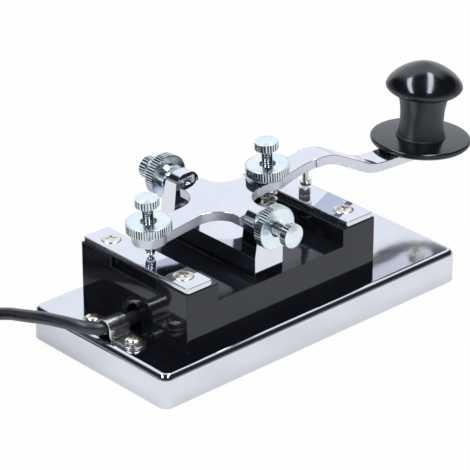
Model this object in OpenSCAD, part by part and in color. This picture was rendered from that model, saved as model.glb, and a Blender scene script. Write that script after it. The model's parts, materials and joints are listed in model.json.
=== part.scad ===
// Straight telegraph key: a plated base, a black body, and a lever on two pivot screws.
// Sizes are in millimetres. +X runs towards the knob, +Z is up,
// and the origin is the centre of the underside.

/* [Base] */
// Length of the base
base_l = 139; // [136:1:150]
// Width of the base
base_w = 70; // [68:1:84]
// Height of the base above the table
base_h = 13; // [12:0.5:18]
// Radius of the base's upright corners
base_corner_r = 4; // [3:0.5:6]
// Radius of the base's top edge
base_edge_r = 1.75; // [1:0.25:2.25]
// Thickness of the non-slip pad
pad_t = 1.5; // [1.2:0.1:2]

/* [Body] */
// Distance from the contacts to the body's front face
front_margin = 7.7; // [7:0.1:9]
// Width of the body
body_w = 54.2; // [52:0.2:60]
// Height of the body's end blocks
body_h = 21.4; // [20:0.2:26]
// Depth of the channel between the end blocks
channel_depth = 6.5; // [5.5:0.1:7.5]
// Length of the rear block
rear_block_l = 14.2; // [13.6:0.1:16]
// Length of the front block
front_block_l = 15.1; // [14:0.1:17]
// Ledge of the base behind the body, which carries the cord clamp
rear_ledge = 16.8; // [15:0.1:18]
// Height of the step that the yoke stands on
plinth_h = 2.2; // [1.5:0.1:3]

/* [Plates] */
// Thickness of the two top plates
plate_t = 2; // [1.5:0.1:2.5]
// Length of the rear plate along the key
rear_plate_l = 11; // [10:0.1:13]
// Length of the front plate along the key
front_plate_l = 12.3; // [11:0.1:13.5]
// Distance between the two screws of a plate
plate_screw_pitch = 37; // [30:0.5:42]

/* [Yoke] */
// Distance from the body's rear face to the pivot axis
pivot_inset = 39.7; // [38.5:0.1:41]
// Height of the pivot axis above the yoke's foot
pivot_h = 16.1; // [15:0.1:18]
// Width of the yoke along the key
yoke_l = 12.7; // [11:0.1:15]
// Thickness of an upright
upright_t = 7; // [5:0.1:8]
// Clear gap between the uprights
yoke_gap = 34.4; // [33:0.1:36]
// Height of the yoke's cross bar
bar_h = 5.6; // [4.5:0.1:7]
// Height of the uprights above the pivot axis
upright_top = 4.8; // [4:0.1:6]

/* [Lever] */
// Thickness of the lever
lever_t = 3.5; // [3:0.1:4]
// Slope of the resting lever, in degrees
lever_tilt = 4.1; // [3.6:0.1:4.6]
// Angle that the lever turns until the contacts meet, in degrees
lever_travel = 1; // [0.5:0.1:1.4]
// Distance from the pivot to the rear stop screw
stop_reach = 32.3; // [31:0.1:34]
// Distance from the pivot to the tension screw
tension_reach = 22.3; // [21:0.1:24]
// Distance from the pivot to the upper contact
contact_reach = 40; // [39:0.1:40.5]
// Width of the front arm
arm_w = 10; // [9:0.1:12]
// Angle by which the front arm bends down, in degrees
arm_bend = 32.1; // [28:0.1:34]
// Angle of the nose below the lever's plane, in degrees
nose_drop = 7.2; // [6:0.1:10]
// Distance from the end of the bend to the knob's axis
knob_reach = 23.7; // [21:0.1:27]

/* [Knob] */
// Diameter of the skirt disc
skirt_d = 36.8; // [32:0.2:42]
// Thickness of the skirt disc
skirt_t = 2.8; // [2.5:0.1:4]
// Diameter of the knob's dome
dome_d = 28; // [25:0.2:32]
// Height of the knob above the skirt
knob_h = 28.6; // [25:0.2:31]
// Diameter of the knob's neck at its waist
neck_d = 16; // [14:0.2:18]

/* [Thumb screws] */
// Outer diameter of the adjusting screws' thread
thread_d = 4; // [3.5:0.1:4.4]
// Diameter of a thumb screw's head
thumb_d = 8.4; // [7.5:0.1:9.5]
// Height of a thumb screw's head
thumb_h = 3.2; // [2.5:0.1:4]
// Diameter of a lock nut
nut_d = 15.8; // [14:0.1:17]
// Thickness of a lock nut's rim
nut_t = 3.6; // [3:0.1:4]
// Distance from the lever's middle plane to the upright screws' heads
thumb_rise = 11.4; // [10.5:0.1:14]
// Distance from the key's middle to the face of the near pivot head
near_pivot_face = 36.5; // [35.5:0.1:39]
// Distance from the key's middle to the face of the far pivot head
far_pivot_face = 38.4; // [37:0.1:43]

/* [Spring] */
// Diameter of the spring's wire
spring_wire_d = 1; // [0.8:0.05:1.1]
// Outer diameter of the return spring
spring_d = 6; // [5.6:0.1:6.4]
// Turns of the return spring
spring_turns = 6.5; // [5:0.5:8]

/* [Cord] */
// Diameter of the cord
cord_d = 4.4; // [4:0.1:4.6]

/* [Hidden] */
$fn = 64;
// Radial clearance of a screw or pin in its hole
fit = 0.05;
// Clearance that keeps touching curved faces apart
gap = 0.1;

// Base and body
pad_inset = 5;
pad_proud = 0.5;
base_x0 = -base_l / 2;
body_x0 = base_x0 + rear_ledge;
pivot_x = body_x0 + pivot_inset;
contact_x = pivot_x + contact_reach * cos(lever_tilt);
body_x1 = contact_x + front_margin;
body_l = body_x1 - body_x0;
body_top = base_h + body_h;
channel_z = body_top - channel_depth;
plinth_z = channel_z + plinth_h;
plate_top = body_top + plate_t;
trough_w = 10;
trough_h = 9.5;
trough_top = base_h + trough_h;
recess_w = 23;
recess_h = 3.8;
recess_depth = 2.5;

// Screws that hold the assembly together
m4_r = 2;
m3_r = 1.5;
plate_screw_r = 1.75;
plate_head_d = 6.8;
plate_head_rise = 0.5;
plate_seat_r = 2.3;
plate_skin = 0.8;
plate_sink = plate_t - plate_skin;
plate_screw_l = 9;
plate_margin = 0.65;
plate_corner_r = 0.8;
rear_plate_x = body_x0 + plate_margin + rear_plate_l / 2;
front_plate_x = body_x1 - plate_margin - front_plate_l / 2;
m4_head_d = 7;
m4_head_h = 2.4;
body_screw_y = body_w / 2 - 6;
body_screw_x = [body_x0 + 7, body_x1 - 7];
body_screw_depth = 10;
counterbore_d = m4_head_d + 1.4;
counterbore_h = 4;

// Yoke and pivots
pivot_z = plinth_z + pivot_h;
yoke_w = yoke_gap + 2 * upright_t;
yoke_corner_r = 4;
yoke_draft = 4.1;
yoke_slant = 18.5;
yoke_slant_drop = 3.2;
yoke_boss_r = 3;
yoke_screw_y = 10;
yoke_seat_rise = 1.5;
yoke_bar_skin = 1;
yoke_screw_seat = trough_top + yoke_seat_rise;
yoke_screw_depth = bar_h - yoke_bar_skin;
yoke_pocket_r = 4.6;
wire_way = 5;
lug_t = 0.6;
thread_r = thread_d / 2 - fit;
bore_r = thread_d / 2;
thumb_pin_r = thread_r - 0.45;
point_angle = 30;
point_l = thread_r / tan(point_angle);
dimple_depth = 1.6;
wing_w = yoke_gap - 3.8;
point_tip = wing_w / 2 - dimple_depth + gap;

// Lever outline
lever_end_r = 6.2;
wing_l = 10.3;
boss_r = 6.6;
rear_arm_half = [5.6, 4.6];
rear_scoop_r = 8.5;
front_scoop_r = 8.4;
neck_half = 5.3;
flare_half = 4.4;
flare_r = 50;
bend_start = contact_reach + 1.5;
bend_r = [20, 24];
bend_run = 14;
bend_1 = [bend_start + bend_r[0] * sin(arm_bend), bend_r[0] * (cos(arm_bend) - 1)];
bend_2 = bend_1 + bend_run * [cos(arm_bend), -sin(arm_bend)];
bend_centre = bend_2 + bend_r[1] * [sin(arm_bend), cos(arm_bend)];
nose_start = bend_centre - bend_r[1] * [sin(nose_drop), cos(nose_drop)];
nose_along = [cos(nose_drop), -sin(nose_drop)];
nose_up = [sin(nose_drop), cos(nose_drop)];
nose_l = knob_reach + 2;
knob_bore = 12;
bend_steps = 8;

// Contacts
contact_r = 2.15;
contact_t = 1.4;
contact_pin_r = 1.2;
contact_drop = 9.2;
contact_nut_d = 6.2;
contact_nut_h = 2.4;
closed_tilt = lever_tilt - lever_travel;
closed_edge = (contact_reach - contact_r) * sin(closed_tilt) - contact_drop * cos(closed_tilt);
lower_contact_top = pivot_z + closed_edge - gap / 4;

// Stop and tension screws
stop_z = pivot_z - stop_reach * sin(lever_tilt);
stop_drop = (stop_z - plate_top - gap / 2 - thread_r) / cos(lever_tilt);
tension_z = pivot_z + tension_reach * sin(lever_tilt);
flange_r = 3;
flange_t = 0.8;
flange_drop = 3.5;
pilot_r = 1.4;
pilot_l = 2.5;
collar_t = 0.5;
collar_r = nut_d / 2 - 1.6;
far_collar_t = 2.8;
far_collar_r = 5;

// Return spring, along the tension screw's axis
spring_r = (spring_d - spring_wire_d) / 2;
spring_seat_depth = 1.5;
spring_seat_r = spring_d / 2 + 0.5;
spring_seat_x = pivot_x + tension_reach * cos(lever_tilt)
    + (tension_z - channel_z + spring_seat_depth) * tan(lever_tilt);
spring_top = -flange_drop - flange_t - spring_wire_d / 2 - gap;
spring_bottom = (channel_z - spring_seat_depth - tension_z + gap + spring_d / 2 * sin(lever_tilt))
    / cos(lever_tilt) + spring_wire_d / 2;
spring_steps = 8;

// Cord clamp
cord_r = cord_d / 2;
cord_lift = 0.7;
cord_z = base_h + cord_r + cord_lift;
clamp_x = base_x0 + 7.6;
clamp_t = 0.85;
clamp_play = 0.6;
clamp_screw_y = 10.5;
clamp_ear_r = 4.2;
clamp_l = 2 * clamp_ear_r;
clamp_head_d = 5.4;
clamp_head_h = 1.7;
clamp_screw_depth = 5.5;
hole_r = 3.3;
hole_z = base_h + 4.6;

// Coil of spare cord: two layers, wound in below and out above
coil_centre = [base_x0 - 38, 60];
coil_outer_r = 29.1;
coil_inner_r = 15;
coil_turns = 3;
coil_low_z = 3.1;
coil_layer = cord_d + 0.5;
coil_steps = 24;
coil_dip = 1;
tie_w = 8;
tie_t = 0.8;
tie_inner = [13.4, 28.2];

// Plug, lying along -Y beside the coil
plug_x = coil_centre[0] - coil_outer_r;
plug_r = 4.4;
plug_z = plug_r + gap;
boot_y = coil_centre[1] - 24;
boot_l = 10;
cover_l = 20;
sleeve_r = 1.75;
sleeve_l = 9;
ring_l = 0.8;
tip_l = 4.2;
sleeve_y = boot_y - boot_l - cover_l;

// Route of the cord from inside the body, bending as it leaves the clamp, to the coil
cord_inside = 6;
cord_joint = 0.5;
cord_route = [
    [body_x0 + cord_inside, 0, cord_z],
    [body_x0, 0, cord_z],
    [clamp_x + 5, -0.3, cord_z],
    [clamp_x + 1, -0.35, cord_z],
    [clamp_x - 1.5, -0.18, cord_z],
    [clamp_x - 3.5, 0.2, cord_z],
    [base_x0 + 2.1, 1.25, base_h + 3.3],
    [base_x0 + 0.2, 3, base_h + 3.5],
    [base_x0 - 1.4, 6, base_h + 3.5],
    [base_x0 - 2.5, 10.5, base_h + 3.2],
    [base_x0 - 3.4, 16, base_h + 2.4],
    [base_x0 - 4, 22, base_h + 1.2],
    [base_x0 - 4.5, 28, base_h - 0.4],
    [base_x0 - 4.8, 34, base_h - 2.1],
    [base_x0 - 4.9, 40, base_h - 3.9],
    [base_x0 - 5.4, 46, 6.9],
    [base_x0 - 6.6, 50, 5.3],
    [base_x0 - 7.9, 54, 4],
    [base_x0 - 8.8, 58, 3.2],
    [coil_centre[0] + coil_outer_r, coil_centre[1] - cord_joint, coil_low_z],
];
// Route of the cord's end from the coil down to the plug
tail_route = [
    [plug_x, coil_centre[1] - cord_joint, coil_low_z + coil_layer],
    [plug_x, coil_centre[1] - 4, coil_low_z + coil_layer - 0.3],
    [plug_x, coil_centre[1] - 10, 6.2],
    [plug_x, coil_centre[1] - 16, 4.9],
    [plug_x, boot_y + 4, plug_z],
    [plug_x, boot_y, plug_z],
];
// Routes of the two wires inside the body, from the cord's end to the two lugs
wire_r = 0.7;
wire_side = 2;
wire_lift = 4;
wire_bend = 12;
wire_start = body_x0 + cord_inside + wire_r;
contact_lug_l = 6;
yoke_wire_route = [
    [wire_start, -wire_side / 2, cord_z],
    [body_x0 + wire_bend, -wire_side, base_h + wire_lift],
    [pivot_x - wire_bend, -wire_side, base_h + wire_lift],
    [pivot_x - wire_way, -1.4 * wire_side, base_h + 1.5 * wire_lift],
    [pivot_x - wire_r, -2 * wire_side, base_h + 2 * wire_lift],
    [pivot_x - wire_r, m4_head_d / 2 + 1.5 * wire_r - yoke_screw_y, yoke_screw_seat - lug_t - wire_r - gap],
];
contact_wire_route = [
    [wire_start, wire_side / 2, cord_z],
    [body_x0 + wire_bend, wire_side, base_h + wire_lift],
    [pivot_x, 1.5 * wire_side, base_h + wire_lift],
    [contact_x - wire_bend, wire_side, base_h + wire_lift],
    [contact_x - 1.5 * contact_lug_l, wire_side / 2, base_h + 1.5 * wire_lift],
    [contact_x - contact_lug_l + 2 * wire_r, 0, trough_top - lug_t - wire_r - gap],
];

// Places on the key
module on_lever(u, w = 0) {
    translate([pivot_x, 0, pivot_z])
        rotate([0, -lever_tilt, 0])
            translate([u, 0, w])
                children();
}

module on_nose(d) {
    on_lever(nose_start[0] + d * cos(nose_drop), nose_start[1] - d * sin(nose_drop))
        rotate([0, nose_drop, 0])
            children();
}

// Side is 1 for the far half and -1 for the near one, which mirrors it
module on_side(side) {
    mirror([0, side < 0 ? 1 : 0])
        children();
}

// Side is -1 for the near pivot and 1 for the far one; the local Z axis points outwards
module on_pivot(side) {
    translate([pivot_x, 0, pivot_z])
        rotate([-90 * side, 0, 0])
            children();
}

// Shared shapes
module rounded_plan(l, w, r) {
    square([l - 2 * r, w], center = true);
    square([l, w - 2 * r], center = true);
    for (x = [-1, 1], y = [-1, 1])
        translate([x * (l / 2 - r), y * (w / 2 - r)])
            circle(r);
}

// Side view of a block that stands on the X axis, with its two top corners rounded
module round_topped(w, h, r) {
    translate([-w / 2, 0])
        square([w, h - r]);
    translate([-w / 2 + r, 0])
        square([w - 2 * r, h]);
    for (s = [-1, 1])
        translate([s * (w / 2 - r), h - r])
            circle(r);
}

// Slab with upright corners of radius r and a top edge of radius e: two crossed bars and four posts
module soft_edged_slab(l, w, h, r, e) {
    rotate([90, 0, 90])
        linear_extrude(l - 2 * r, center = true)
            round_topped(w, h, e);
    rotate([90, 0, 0])
        linear_extrude(w - 2 * r, center = true)
            round_topped(l, h, e);
    for (x = [-1, 1], y = [-1, 1])
        translate([x * (l / 2 - r), y * (w / 2 - r), 0])
            rotate_extrude()
                intersection() {
                    round_topped(2 * r, h, e);
                    square([r, h]);
                }
}

// Pan head with a cross recess, its seat at Z = 0 and its shank below
module pan_screw(head_d, head_h, shank_r, shank_l) {
    arm = head_d * 0.55;
    slot = head_d * 0.14;
    difference() {
        union() {
            rotate_extrude()
                polygon([[0, 0], [head_d / 2, 0], [head_d / 2, head_h * 0.4],
                         [head_d * 0.44, head_h * 0.75], [head_d * 0.3, head_h], [0, head_h]]);
            translate([0, 0, -shank_l])
                cylinder(r = shank_r, h = shank_l);
        }
        for (a = [0, 90])
            rotate([0, 0, a])
                translate([-arm / 2, -slot / 2, head_h * 0.4])
                    cube([arm, slot, head_h]);
    }
}

// Raised countersunk head with a cross recess: its rim at Z = 0, a flat seat below, then its shank
module sunk_screw(head_d, rise, seat_r, sink, shank_r, shank_l) {
    r = head_d / 2;
    arm = head_d * 0.55;
    slot = head_d * 0.14;
    difference() {
        union() {
            rotate_extrude()
                polygon([[0, -sink], [seat_r, -sink], [r, 0],
                         [r * 0.85, rise * 0.6], [r * 0.5, rise], [0, rise]]);
            translate([0, 0, -shank_l])
                cylinder(r = shank_r, h = shank_l - sink);
        }
        for (a = [0, 90])
            rotate([0, 0, a])
                translate([-arm / 2, -slot / 2, -sink / 2])
                    cube([arm, slot, sink + rise]);
    }
}

// Knurled head of an adjusting screw, its underside at Z = 0
module thumb_head() {
    r = thumb_d / 2;
    edge = 0.3;
    chamfer = 0.8;
    difference() {
        rotate_extrude()
            polygon([[0, 0], [r - edge, 0], [r, edge],
                     [r, thumb_h - chamfer], [r - chamfer, thumb_h], [0, thumb_h]]);
        translate([0, 0, -1])
            cylinder(r = thumb_pin_r + fit, h = thumb_h);
    }
}

// Knurled lock nut with a collar under its rim, the collar's face at Z = 0
module lock_nut(collar_h = collar_t, collar_half = collar_r) {
    r = nut_d / 2;
    edge = 0.4;
    top = collar_h + nut_t;
    sink = 1;
    difference() {
        rotate_extrude()
            polygon([[0, 0], [collar_half, 0], [collar_half, collar_h], [r - edge, collar_h],
                     [r, collar_h + edge], [r, top - edge], [r - edge, top], [0, top]]);
        translate([0, 0, -1])
            cylinder(r = bore_r, h = top + 2);
        translate([0, 0, top - sink])
            cylinder(r1 = bore_r, r2 = bore_r + sink + 0.1, h = sink + 0.1);
    }
}

// Threaded stud along Z: its tip's points, then the thread up to the pin that carries the head
module stud(tip, to) {
    pin_top = to + thumb_h - 1 - gap;
    rotate_extrude()
        polygon(concat(tip, [[thread_r, to], [thumb_pin_r, to], [thumb_pin_r, pin_top], [0, pin_top]]));
}

// Tube of triangles swept along points, with the side faces turned by a reference direction
function unit(v) = v / norm(v);
function along(points, i) =
    unit(points[min(i + 1, len(points) - 1)] - points[max(i - 1, 0)]);
function ring(centre, t, reference, r, sides) =
    let (a = unit(cross(reference, t)), b = cross(t, a))
    [for (j = [0 : sides - 1]) centre + r * (cos(360 * j / sides) * a + sin(360 * j / sides) * b)];

module tube(points, r, sides, reference = [0, 0, 1]) {
    n = len(points);
    rings = [for (i = [0 : n - 1]) each ring(points[i], along(points, i), reference, r, sides)];
    start_cap = [for (j = [1 : sides - 2]) [0, j + 1, j]];
    end_cap = [for (j = [1 : sides - 2]) [0, j, j + 1] + [1, 1, 1] * (n - 1) * sides];
    walls = [for (i = [0 : n - 2], j = [0 : sides - 1])
        let (k = (j + 1) % sides, a = i * sides, b = a + sides)
        each [[a + j, a + k, b + k], [a + j, b + k, b + j]]];
    polyhedron(rings, concat(start_cap, walls, end_cap), convexity = 10);
}

// Least distance between points of a path that are at least a number of steps apart
function self_gap(points, apart, r) =
    min([for (i = [0 : len(points) - 1], j = [i + apart : 1 : len(points) - 1])
        norm(points[i] - points[j])]) - 2 * r;

// Base
module base_plate() {
    color("gainsboro")
        difference() {
            translate([0, 0, pad_proud])
                soft_edged_slab(base_l, base_w, base_h - pad_proud, base_corner_r, base_edge_r);
            translate([0, 0, -1])
                linear_extrude(pad_t + 1)
                    rounded_plan(base_l - 2 * pad_inset, base_w - 2 * pad_inset, base_corner_r);
            for (x = body_screw_x, y = [-1, 1])
                translate([x, y * body_screw_y, 0]) {
                    cylinder(d = counterbore_d, h = pad_t + counterbore_h);
                    cylinder(r = m4_r + fit, h = base_h + 1);
                }
            for (y = [-1, 1])
                translate([clamp_x, y * clamp_screw_y, base_h - clamp_screw_depth - gap])
                    cylinder(r = m3_r + fit, h = clamp_screw_depth + 1);
        }
}

module base_pad() {
    inset = pad_inset + 2 * gap;
    color("dimgray")
        linear_extrude(pad_t)
            rounded_plan(base_l - 2 * inset, base_w - 2 * inset, base_corner_r - 2 * gap);
}

// Body, with the channel across its middle and the wire trough under it
module body_block() {
    color("black")
        difference() {
            union() {
                translate([body_x0, -body_w / 2, base_h])
                    cube([body_l, body_w, channel_z - base_h]);
                translate([body_x0, -body_w / 2, base_h])
                    cube([rear_block_l, body_w, body_h]);
                translate([body_x1 - front_block_l, -body_w / 2, base_h])
                    cube([front_block_l, body_w, body_h]);
                translate([pivot_x - yoke_l / 2, -yoke_w / 2, base_h])
                    cube([yoke_l, yoke_w, plinth_z - base_h]);
            }
            translate([body_x0 - 1, -recess_w / 2, body_top - recess_h])
                cube([recess_depth + 1, recess_w, recess_h + 1]);
            translate([body_x0 + 5, -trough_w / 2, base_h - 1])
                cube([contact_x + 6 - body_x0 - 5, trough_w, trough_top - base_h + 1]);
            cord_entry();
            for (x = body_screw_x, y = [-1, 1])
                translate([x, y * body_screw_y, base_h - 1])
                    cylinder(r = m4_r + fit, h = body_screw_depth + 2);
            for (x = [rear_plate_x, front_plate_x], y = [-1, 1])
                translate([x, y * plate_screw_pitch / 2, body_top - plate_screw_l])
                    cylinder(r = plate_screw_r + fit, h = plate_screw_l + 1);
            for (y = [-1, 1])
                translate([pivot_x, y * yoke_screw_y, base_h - 1]) {
                    cylinder(r = yoke_pocket_r, h = yoke_screw_seat - base_h + 1);
                    cylinder(r = m4_r + fit, h = plinth_z - base_h + 2);
                }
            translate([pivot_x - wire_way / 2, -yoke_screw_y, base_h - 1])
                cube([wire_way, 2 * yoke_screw_y, yoke_screw_seat - base_h + 1]);
            translate([spring_seat_x, 0, channel_z - spring_seat_depth])
                cylinder(r = spring_seat_r, h = spring_seat_depth + 1);
            translate([contact_x, 0, base_h])
                cylinder(r = m3_r + fit, h = body_h + 1);
        }
}

// Arched way in for the cord, low in the body's rear face
module cord_entry() {
    depth = 8;
    translate([body_x0 - 1, 0, hole_z])
        rotate([0, 90, 0])
            cylinder(r = hole_r, h = depth);
    translate([body_x0 - 1, -hole_r, base_h - 1])
        cube([depth, 2 * hole_r, hole_z - base_h + 1]);
}

module body_screws() {
    color("silver")
        for (x = body_screw_x, y = [-1, 1])
            translate([x, y * body_screw_y, pad_t + counterbore_h])
                rotate([180, 0, 0])
                    pan_screw(m4_head_d, m4_head_h, m4_r, base_h - pad_t - counterbore_h + body_screw_depth);
}

// Top plates
module top_plate(x, l) {
    past = 1;
    head_r = plate_head_d / 2;
    mouth_r = head_r + past * (head_r - plate_seat_r) / plate_sink;
    translate([x, 0, body_top])
        difference() {
            linear_extrude(plate_t)
                rounded_plan(l, body_w - plate_margin, plate_corner_r);
            for (y = [-1, 1])
                translate([0, y * plate_screw_pitch / 2, 0]) {
                    translate([0, 0, -past])
                        cylinder(r = plate_screw_r + gap, h = plate_t + past);
                    translate([0, 0, plate_skin])
                        cylinder(r1 = plate_seat_r + fit, r2 = mouth_r + fit, h = plate_sink + past);
                }
        }
}

module plate_screws(x) {
    for (y = [-1, 1])
        translate([x, y * plate_screw_pitch / 2, plate_top])
            sunk_screw(plate_head_d, plate_head_rise, plate_seat_r, plate_sink,
                       plate_screw_r, plate_screw_l);
}

module rear_plate() {
    color("gainsboro")
        top_plate(rear_plate_x, rear_plate_l);
}

module front_plate() {
    color("gainsboro")
        difference() {
            top_plate(front_plate_x, front_plate_l);
            translate([contact_x, 0, body_top - 1])
                cylinder(r = m3_r + fit, h = plate_t + 2);
        }
}

module rear_plate_screws() {
    color("silver")
        plate_screws(rear_plate_x);
}

module front_plate_screws() {
    color("silver")
        plate_screws(front_plate_x);
}

// Yoke: a cross bar with two uprights, bored for the pivot screws
module yoke() {
    color("gainsboro")
        difference() {
            translate([pivot_x, 0, plinth_z]) {
                translate([-yoke_l / 2, -yoke_w / 2, 0])
                    cube([yoke_l, yoke_w, bar_h]);
                for (s = [-1, 1])
                    on_side(s)
                        upright();
            }
            translate([pivot_x, 0, pivot_z])
                rotate([90, 0, 0])
                    cylinder(r = bore_r, h = yoke_w + 2, center = true);
            for (y = [-1, 1])
                translate([pivot_x, y * yoke_screw_y, plinth_z - 1])
                    cylinder(r = m4_r + fit, h = yoke_screw_depth + 1);
        }
}

// Far upright: its side view cut by its rear view, and a boss where the pivot screw goes through
module upright() {
    intersection() {
        translate([0, yoke_w / 2, 0])
            rotate([90, 0, 0])
                linear_extrude(upright_t)
                    upright_side();
        rotate([90, 0, 90])
            linear_extrude(yoke_l + 2, center = true)
                upright_rear();
    }
    translate([0, yoke_w / 2 - upright_t / 2, pivot_h])
        rotate([-90, 0, 0])
            cylinder(r = yoke_boss_r, h = upright_t / 2);
}

// Side view: narrower towards the rounded top
module upright_side() {
    centre_z = pivot_h + upright_top - yoke_corner_r;
    centre_x = yoke_l / 2 - centre_z * tan(yoke_draft) - yoke_corner_r / cos(yoke_draft);
    touch = [centre_x + yoke_corner_r * cos(yoke_draft), centre_z + yoke_corner_r * sin(yoke_draft)];
    polygon([[-yoke_l / 2, 0], [yoke_l / 2, 0], touch, [-touch[0], touch[1]]]);
    translate([-centre_x, 0])
        square([2 * centre_x, centre_z + yoke_corner_r]);
    for (s = [-1, 1])
        translate([s * centre_x, centre_z])
            circle(yoke_corner_r);
}

// Rear view: the outer face slants inwards above a line below the pivot
module upright_rear() {
    outer = yoke_w / 2;
    inner = yoke_gap / 2;
    bend_z = pivot_h - yoke_slant_drop;
    top_z = pivot_h + upright_top + 1;
    polygon([[inner, 0], [outer, 0], [outer, bend_z],
             [outer - (top_z - bend_z) * tan(yoke_slant), top_z], [inner, top_z]]);
}

// The near screw also holds the solder lug
module yoke_screws() {
    grip = plinth_z - yoke_screw_seat + yoke_screw_depth - lug_t;
    color("silver")
        for (y = [-1, 1])
            translate([pivot_x, y * yoke_screw_y, yoke_screw_seat - (y < 0 ? lug_t : 0)])
                rotate([180, 0, 0])
                    pan_screw(m4_head_d, m4_head_h, m4_r, grip);
}

module yoke_lug() {
    color("gold")
        translate([pivot_x, -yoke_screw_y, yoke_screw_seat - lug_t])
            difference() {
                union() {
                    cylinder(r = 4, h = lug_t);
                    translate([-2.2, 0, 0])
                        cube([3, 5.4, lug_t]);
                }
                translate([0, 0, -1])
                    cylinder(r = m4_r + fit, h = lug_t + 2);
            }
}

module yoke_wire() {
    color("crimson")
        tube(yoke_wire_route, wire_r, 8);
}

// Lever: flat rear part with side wings, and a bent front arm
module lever() {
    color("gainsboro")
        difference() {
            union() {
                on_lever(0, -lever_t / 2)
                    linear_extrude(lever_t)
                        lever_plan();
                front_arm();
            }
            for (u = [-stop_reach, tension_reach])
                on_lever(u, -lever_t)
                    cylinder(r = bore_r, h = 2 * lever_t);
            on_lever(contact_reach, -lever_t)
                cylinder(r = contact_pin_r + fit, h = 2 * lever_t);
            on_nose(knob_reach)
                translate([0, 0, -lever_t])
                    cylinder(r = m4_r + fit, h = 2 * lever_t);
            for (s = [-1, 1])
                on_pivot(s)
                    translate([0, 0, wing_w / 2 - dimple_depth])
                        cylinder(r1 = 0, r2 = dimple_depth + 0.2, h = dimple_depth + 0.2);
        }
}

module lever_plan() {
    translate([-stop_reach, 0])
        circle(lever_end_r);
    rear_root = wing_l / 2 + rear_scoop_r;
    front_root = wing_l / 2 + front_scoop_r;
    polygon([[-stop_reach, -rear_arm_half[0]], [-rear_root, -rear_arm_half[1]],
             [-rear_root, rear_arm_half[1]], [-stop_reach, rear_arm_half[0]]]);
    square([wing_l, wing_w], center = true);
    for (s = [-1, 1])
        on_side(s) {
            scoop(-rear_root, -wing_l / 2, rear_arm_half[1], rear_scoop_r, -rear_root);
            scoop(wing_l / 2, front_root, neck_half, front_scoop_r, front_root);
            flare();
        }
    translate([0, -neck_half])
        square([tension_reach, 2 * neck_half]);
    translate([tension_reach, 0])
        circle(boss_r);
}

// Concave corner between an arm and a wing, cut by a circle about (centre_u, half + r)
module scoop(from, to, half, r, centre_u) {
    difference() {
        translate([from, 0])
            square([to - from, half + r]);
        translate([centre_u, half + r])
            circle(r);
    }
}

// Slender stretch between the tension screw's boss and the front arm
module flare() {
    start = tension_reach + 2;
    waist_u = bend_start - 3.5;
    difference() {
        translate([start, 0])
            square([bend_start - start, boss_r]);
        translate([waist_u, flare_half + flare_r])
            circle(flare_r);
        translate([waist_u, flare_half])
            square([4, boss_r]);
    }
}

// Bent arm: its side outline drawn along the middle line, then the rounded nose
module front_arm() {
    half = lever_t / 2;
    lap = 0.5;
    upper = concat(
        [[bend_start - lap, half]],
        bend_arc([bend_start, -bend_r[0]], bend_r[0] + half, 90, 90 - arm_bend),
        bend_arc(bend_centre, bend_r[1] - half, -90 - arm_bend, -90 - nose_drop),
        [nose_start + nose_l * nose_along + half * nose_up]);
    lower = concat(
        [[bend_start - lap, -half]],
        bend_arc([bend_start, -bend_r[0]], bend_r[0] - half, 90, 90 - arm_bend),
        bend_arc(bend_centre, bend_r[1] + half, -90 - arm_bend, -90 - nose_drop),
        [nose_start + nose_l * nose_along - half * nose_up]);
    on_lever(0)
        rotate([90, 0, 0])
            linear_extrude(arm_w, center = true)
                polygon(concat(upper, [for (i = [len(lower) - 1 : -1 : 0]) lower[i]]));
    on_nose(nose_l)
        cylinder(d = arm_w, h = lever_t, center = true);
}

// Points of an arc about a centre, from one angle to another
function bend_arc(centre, r, from, to) =
    [for (i = [0 : bend_steps]) let (a = from + (to - from) * i / bend_steps) centre + r * [cos(a), sin(a)]];

module upper_contact() {
    color("whitesmoke")
        on_lever(contact_reach) {
            translate([0, 0, -contact_drop])
                cylinder(r = contact_r, h = contact_t);
            translate([0, 0, -contact_drop])
                cylinder(r = contact_pin_r, h = contact_drop + lever_t / 2);
        }
}

// Knob on its skirt, square to the nose: a waisted neck, a round rim and a dome
module knob() {
    waist = neck_d / 2;
    waist_z = 7;
    foot_flare = 0.85;
    top_flare = 1.45;
    neck_top = waist + top_flare;
    dome_r = dome_d / 2;
    dome_h = 9.1;
    dome_power = 1.3;
    rim_h = 3;
    rim_power = 1.17;
    rim_z = knob_h - dome_h;
    neck_h = rim_z - rim_h;
    foot = [for (i = [0 : 4]) let (t = 1 - i / 4) [waist + foot_flare * t * t, waist_z * i / 4]];
    neck = [for (i = [1 : 6]) let (t = i / 6) [waist + top_flare * t * t, waist_z + (neck_h - waist_z) * t]];
    rim = [for (a = [-75 : 15 : 0])
        [neck_top + (dome_r - neck_top) * pow(cos(a), rim_power), rim_z - rim_h * pow(-sin(a), rim_power)]];
    dome = [for (a = [6 : 6 : 84])
        [dome_r * pow(cos(a), dome_power), rim_z + dome_h * pow(sin(a), dome_power)]];
    color("black")
        on_nose(knob_reach)
            translate([0, 0, lever_t / 2 + skirt_t])
                difference() {
                    rotate_extrude($fn = 96)
                        polygon(concat([[0, 0]], foot, neck, rim, dome, [[0, knob_h]]));
                    translate([0, 0, -1])
                        cylinder(r = m4_r + fit, h = knob_bore + 1);
                }
}

module knob_skirt() {
    edge = 0.4;
    r = skirt_d / 2;
    color("black")
        on_nose(knob_reach)
            translate([0, 0, lever_t / 2])
                difference() {
                    rotate_extrude($fn = 96)
                        polygon([[0, 0], [r - 2 * edge, 0], [r, 2 * edge], [r, skirt_t - 1.5 * edge],
                                 [r - edge, skirt_t - edge / 2], [neck_d / 2 + 2, skirt_t], [0, skirt_t]]);
                    translate([0, 0, -1])
                        cylinder(r = m4_r + fit, h = skirt_t + 2);
                }
}

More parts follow.
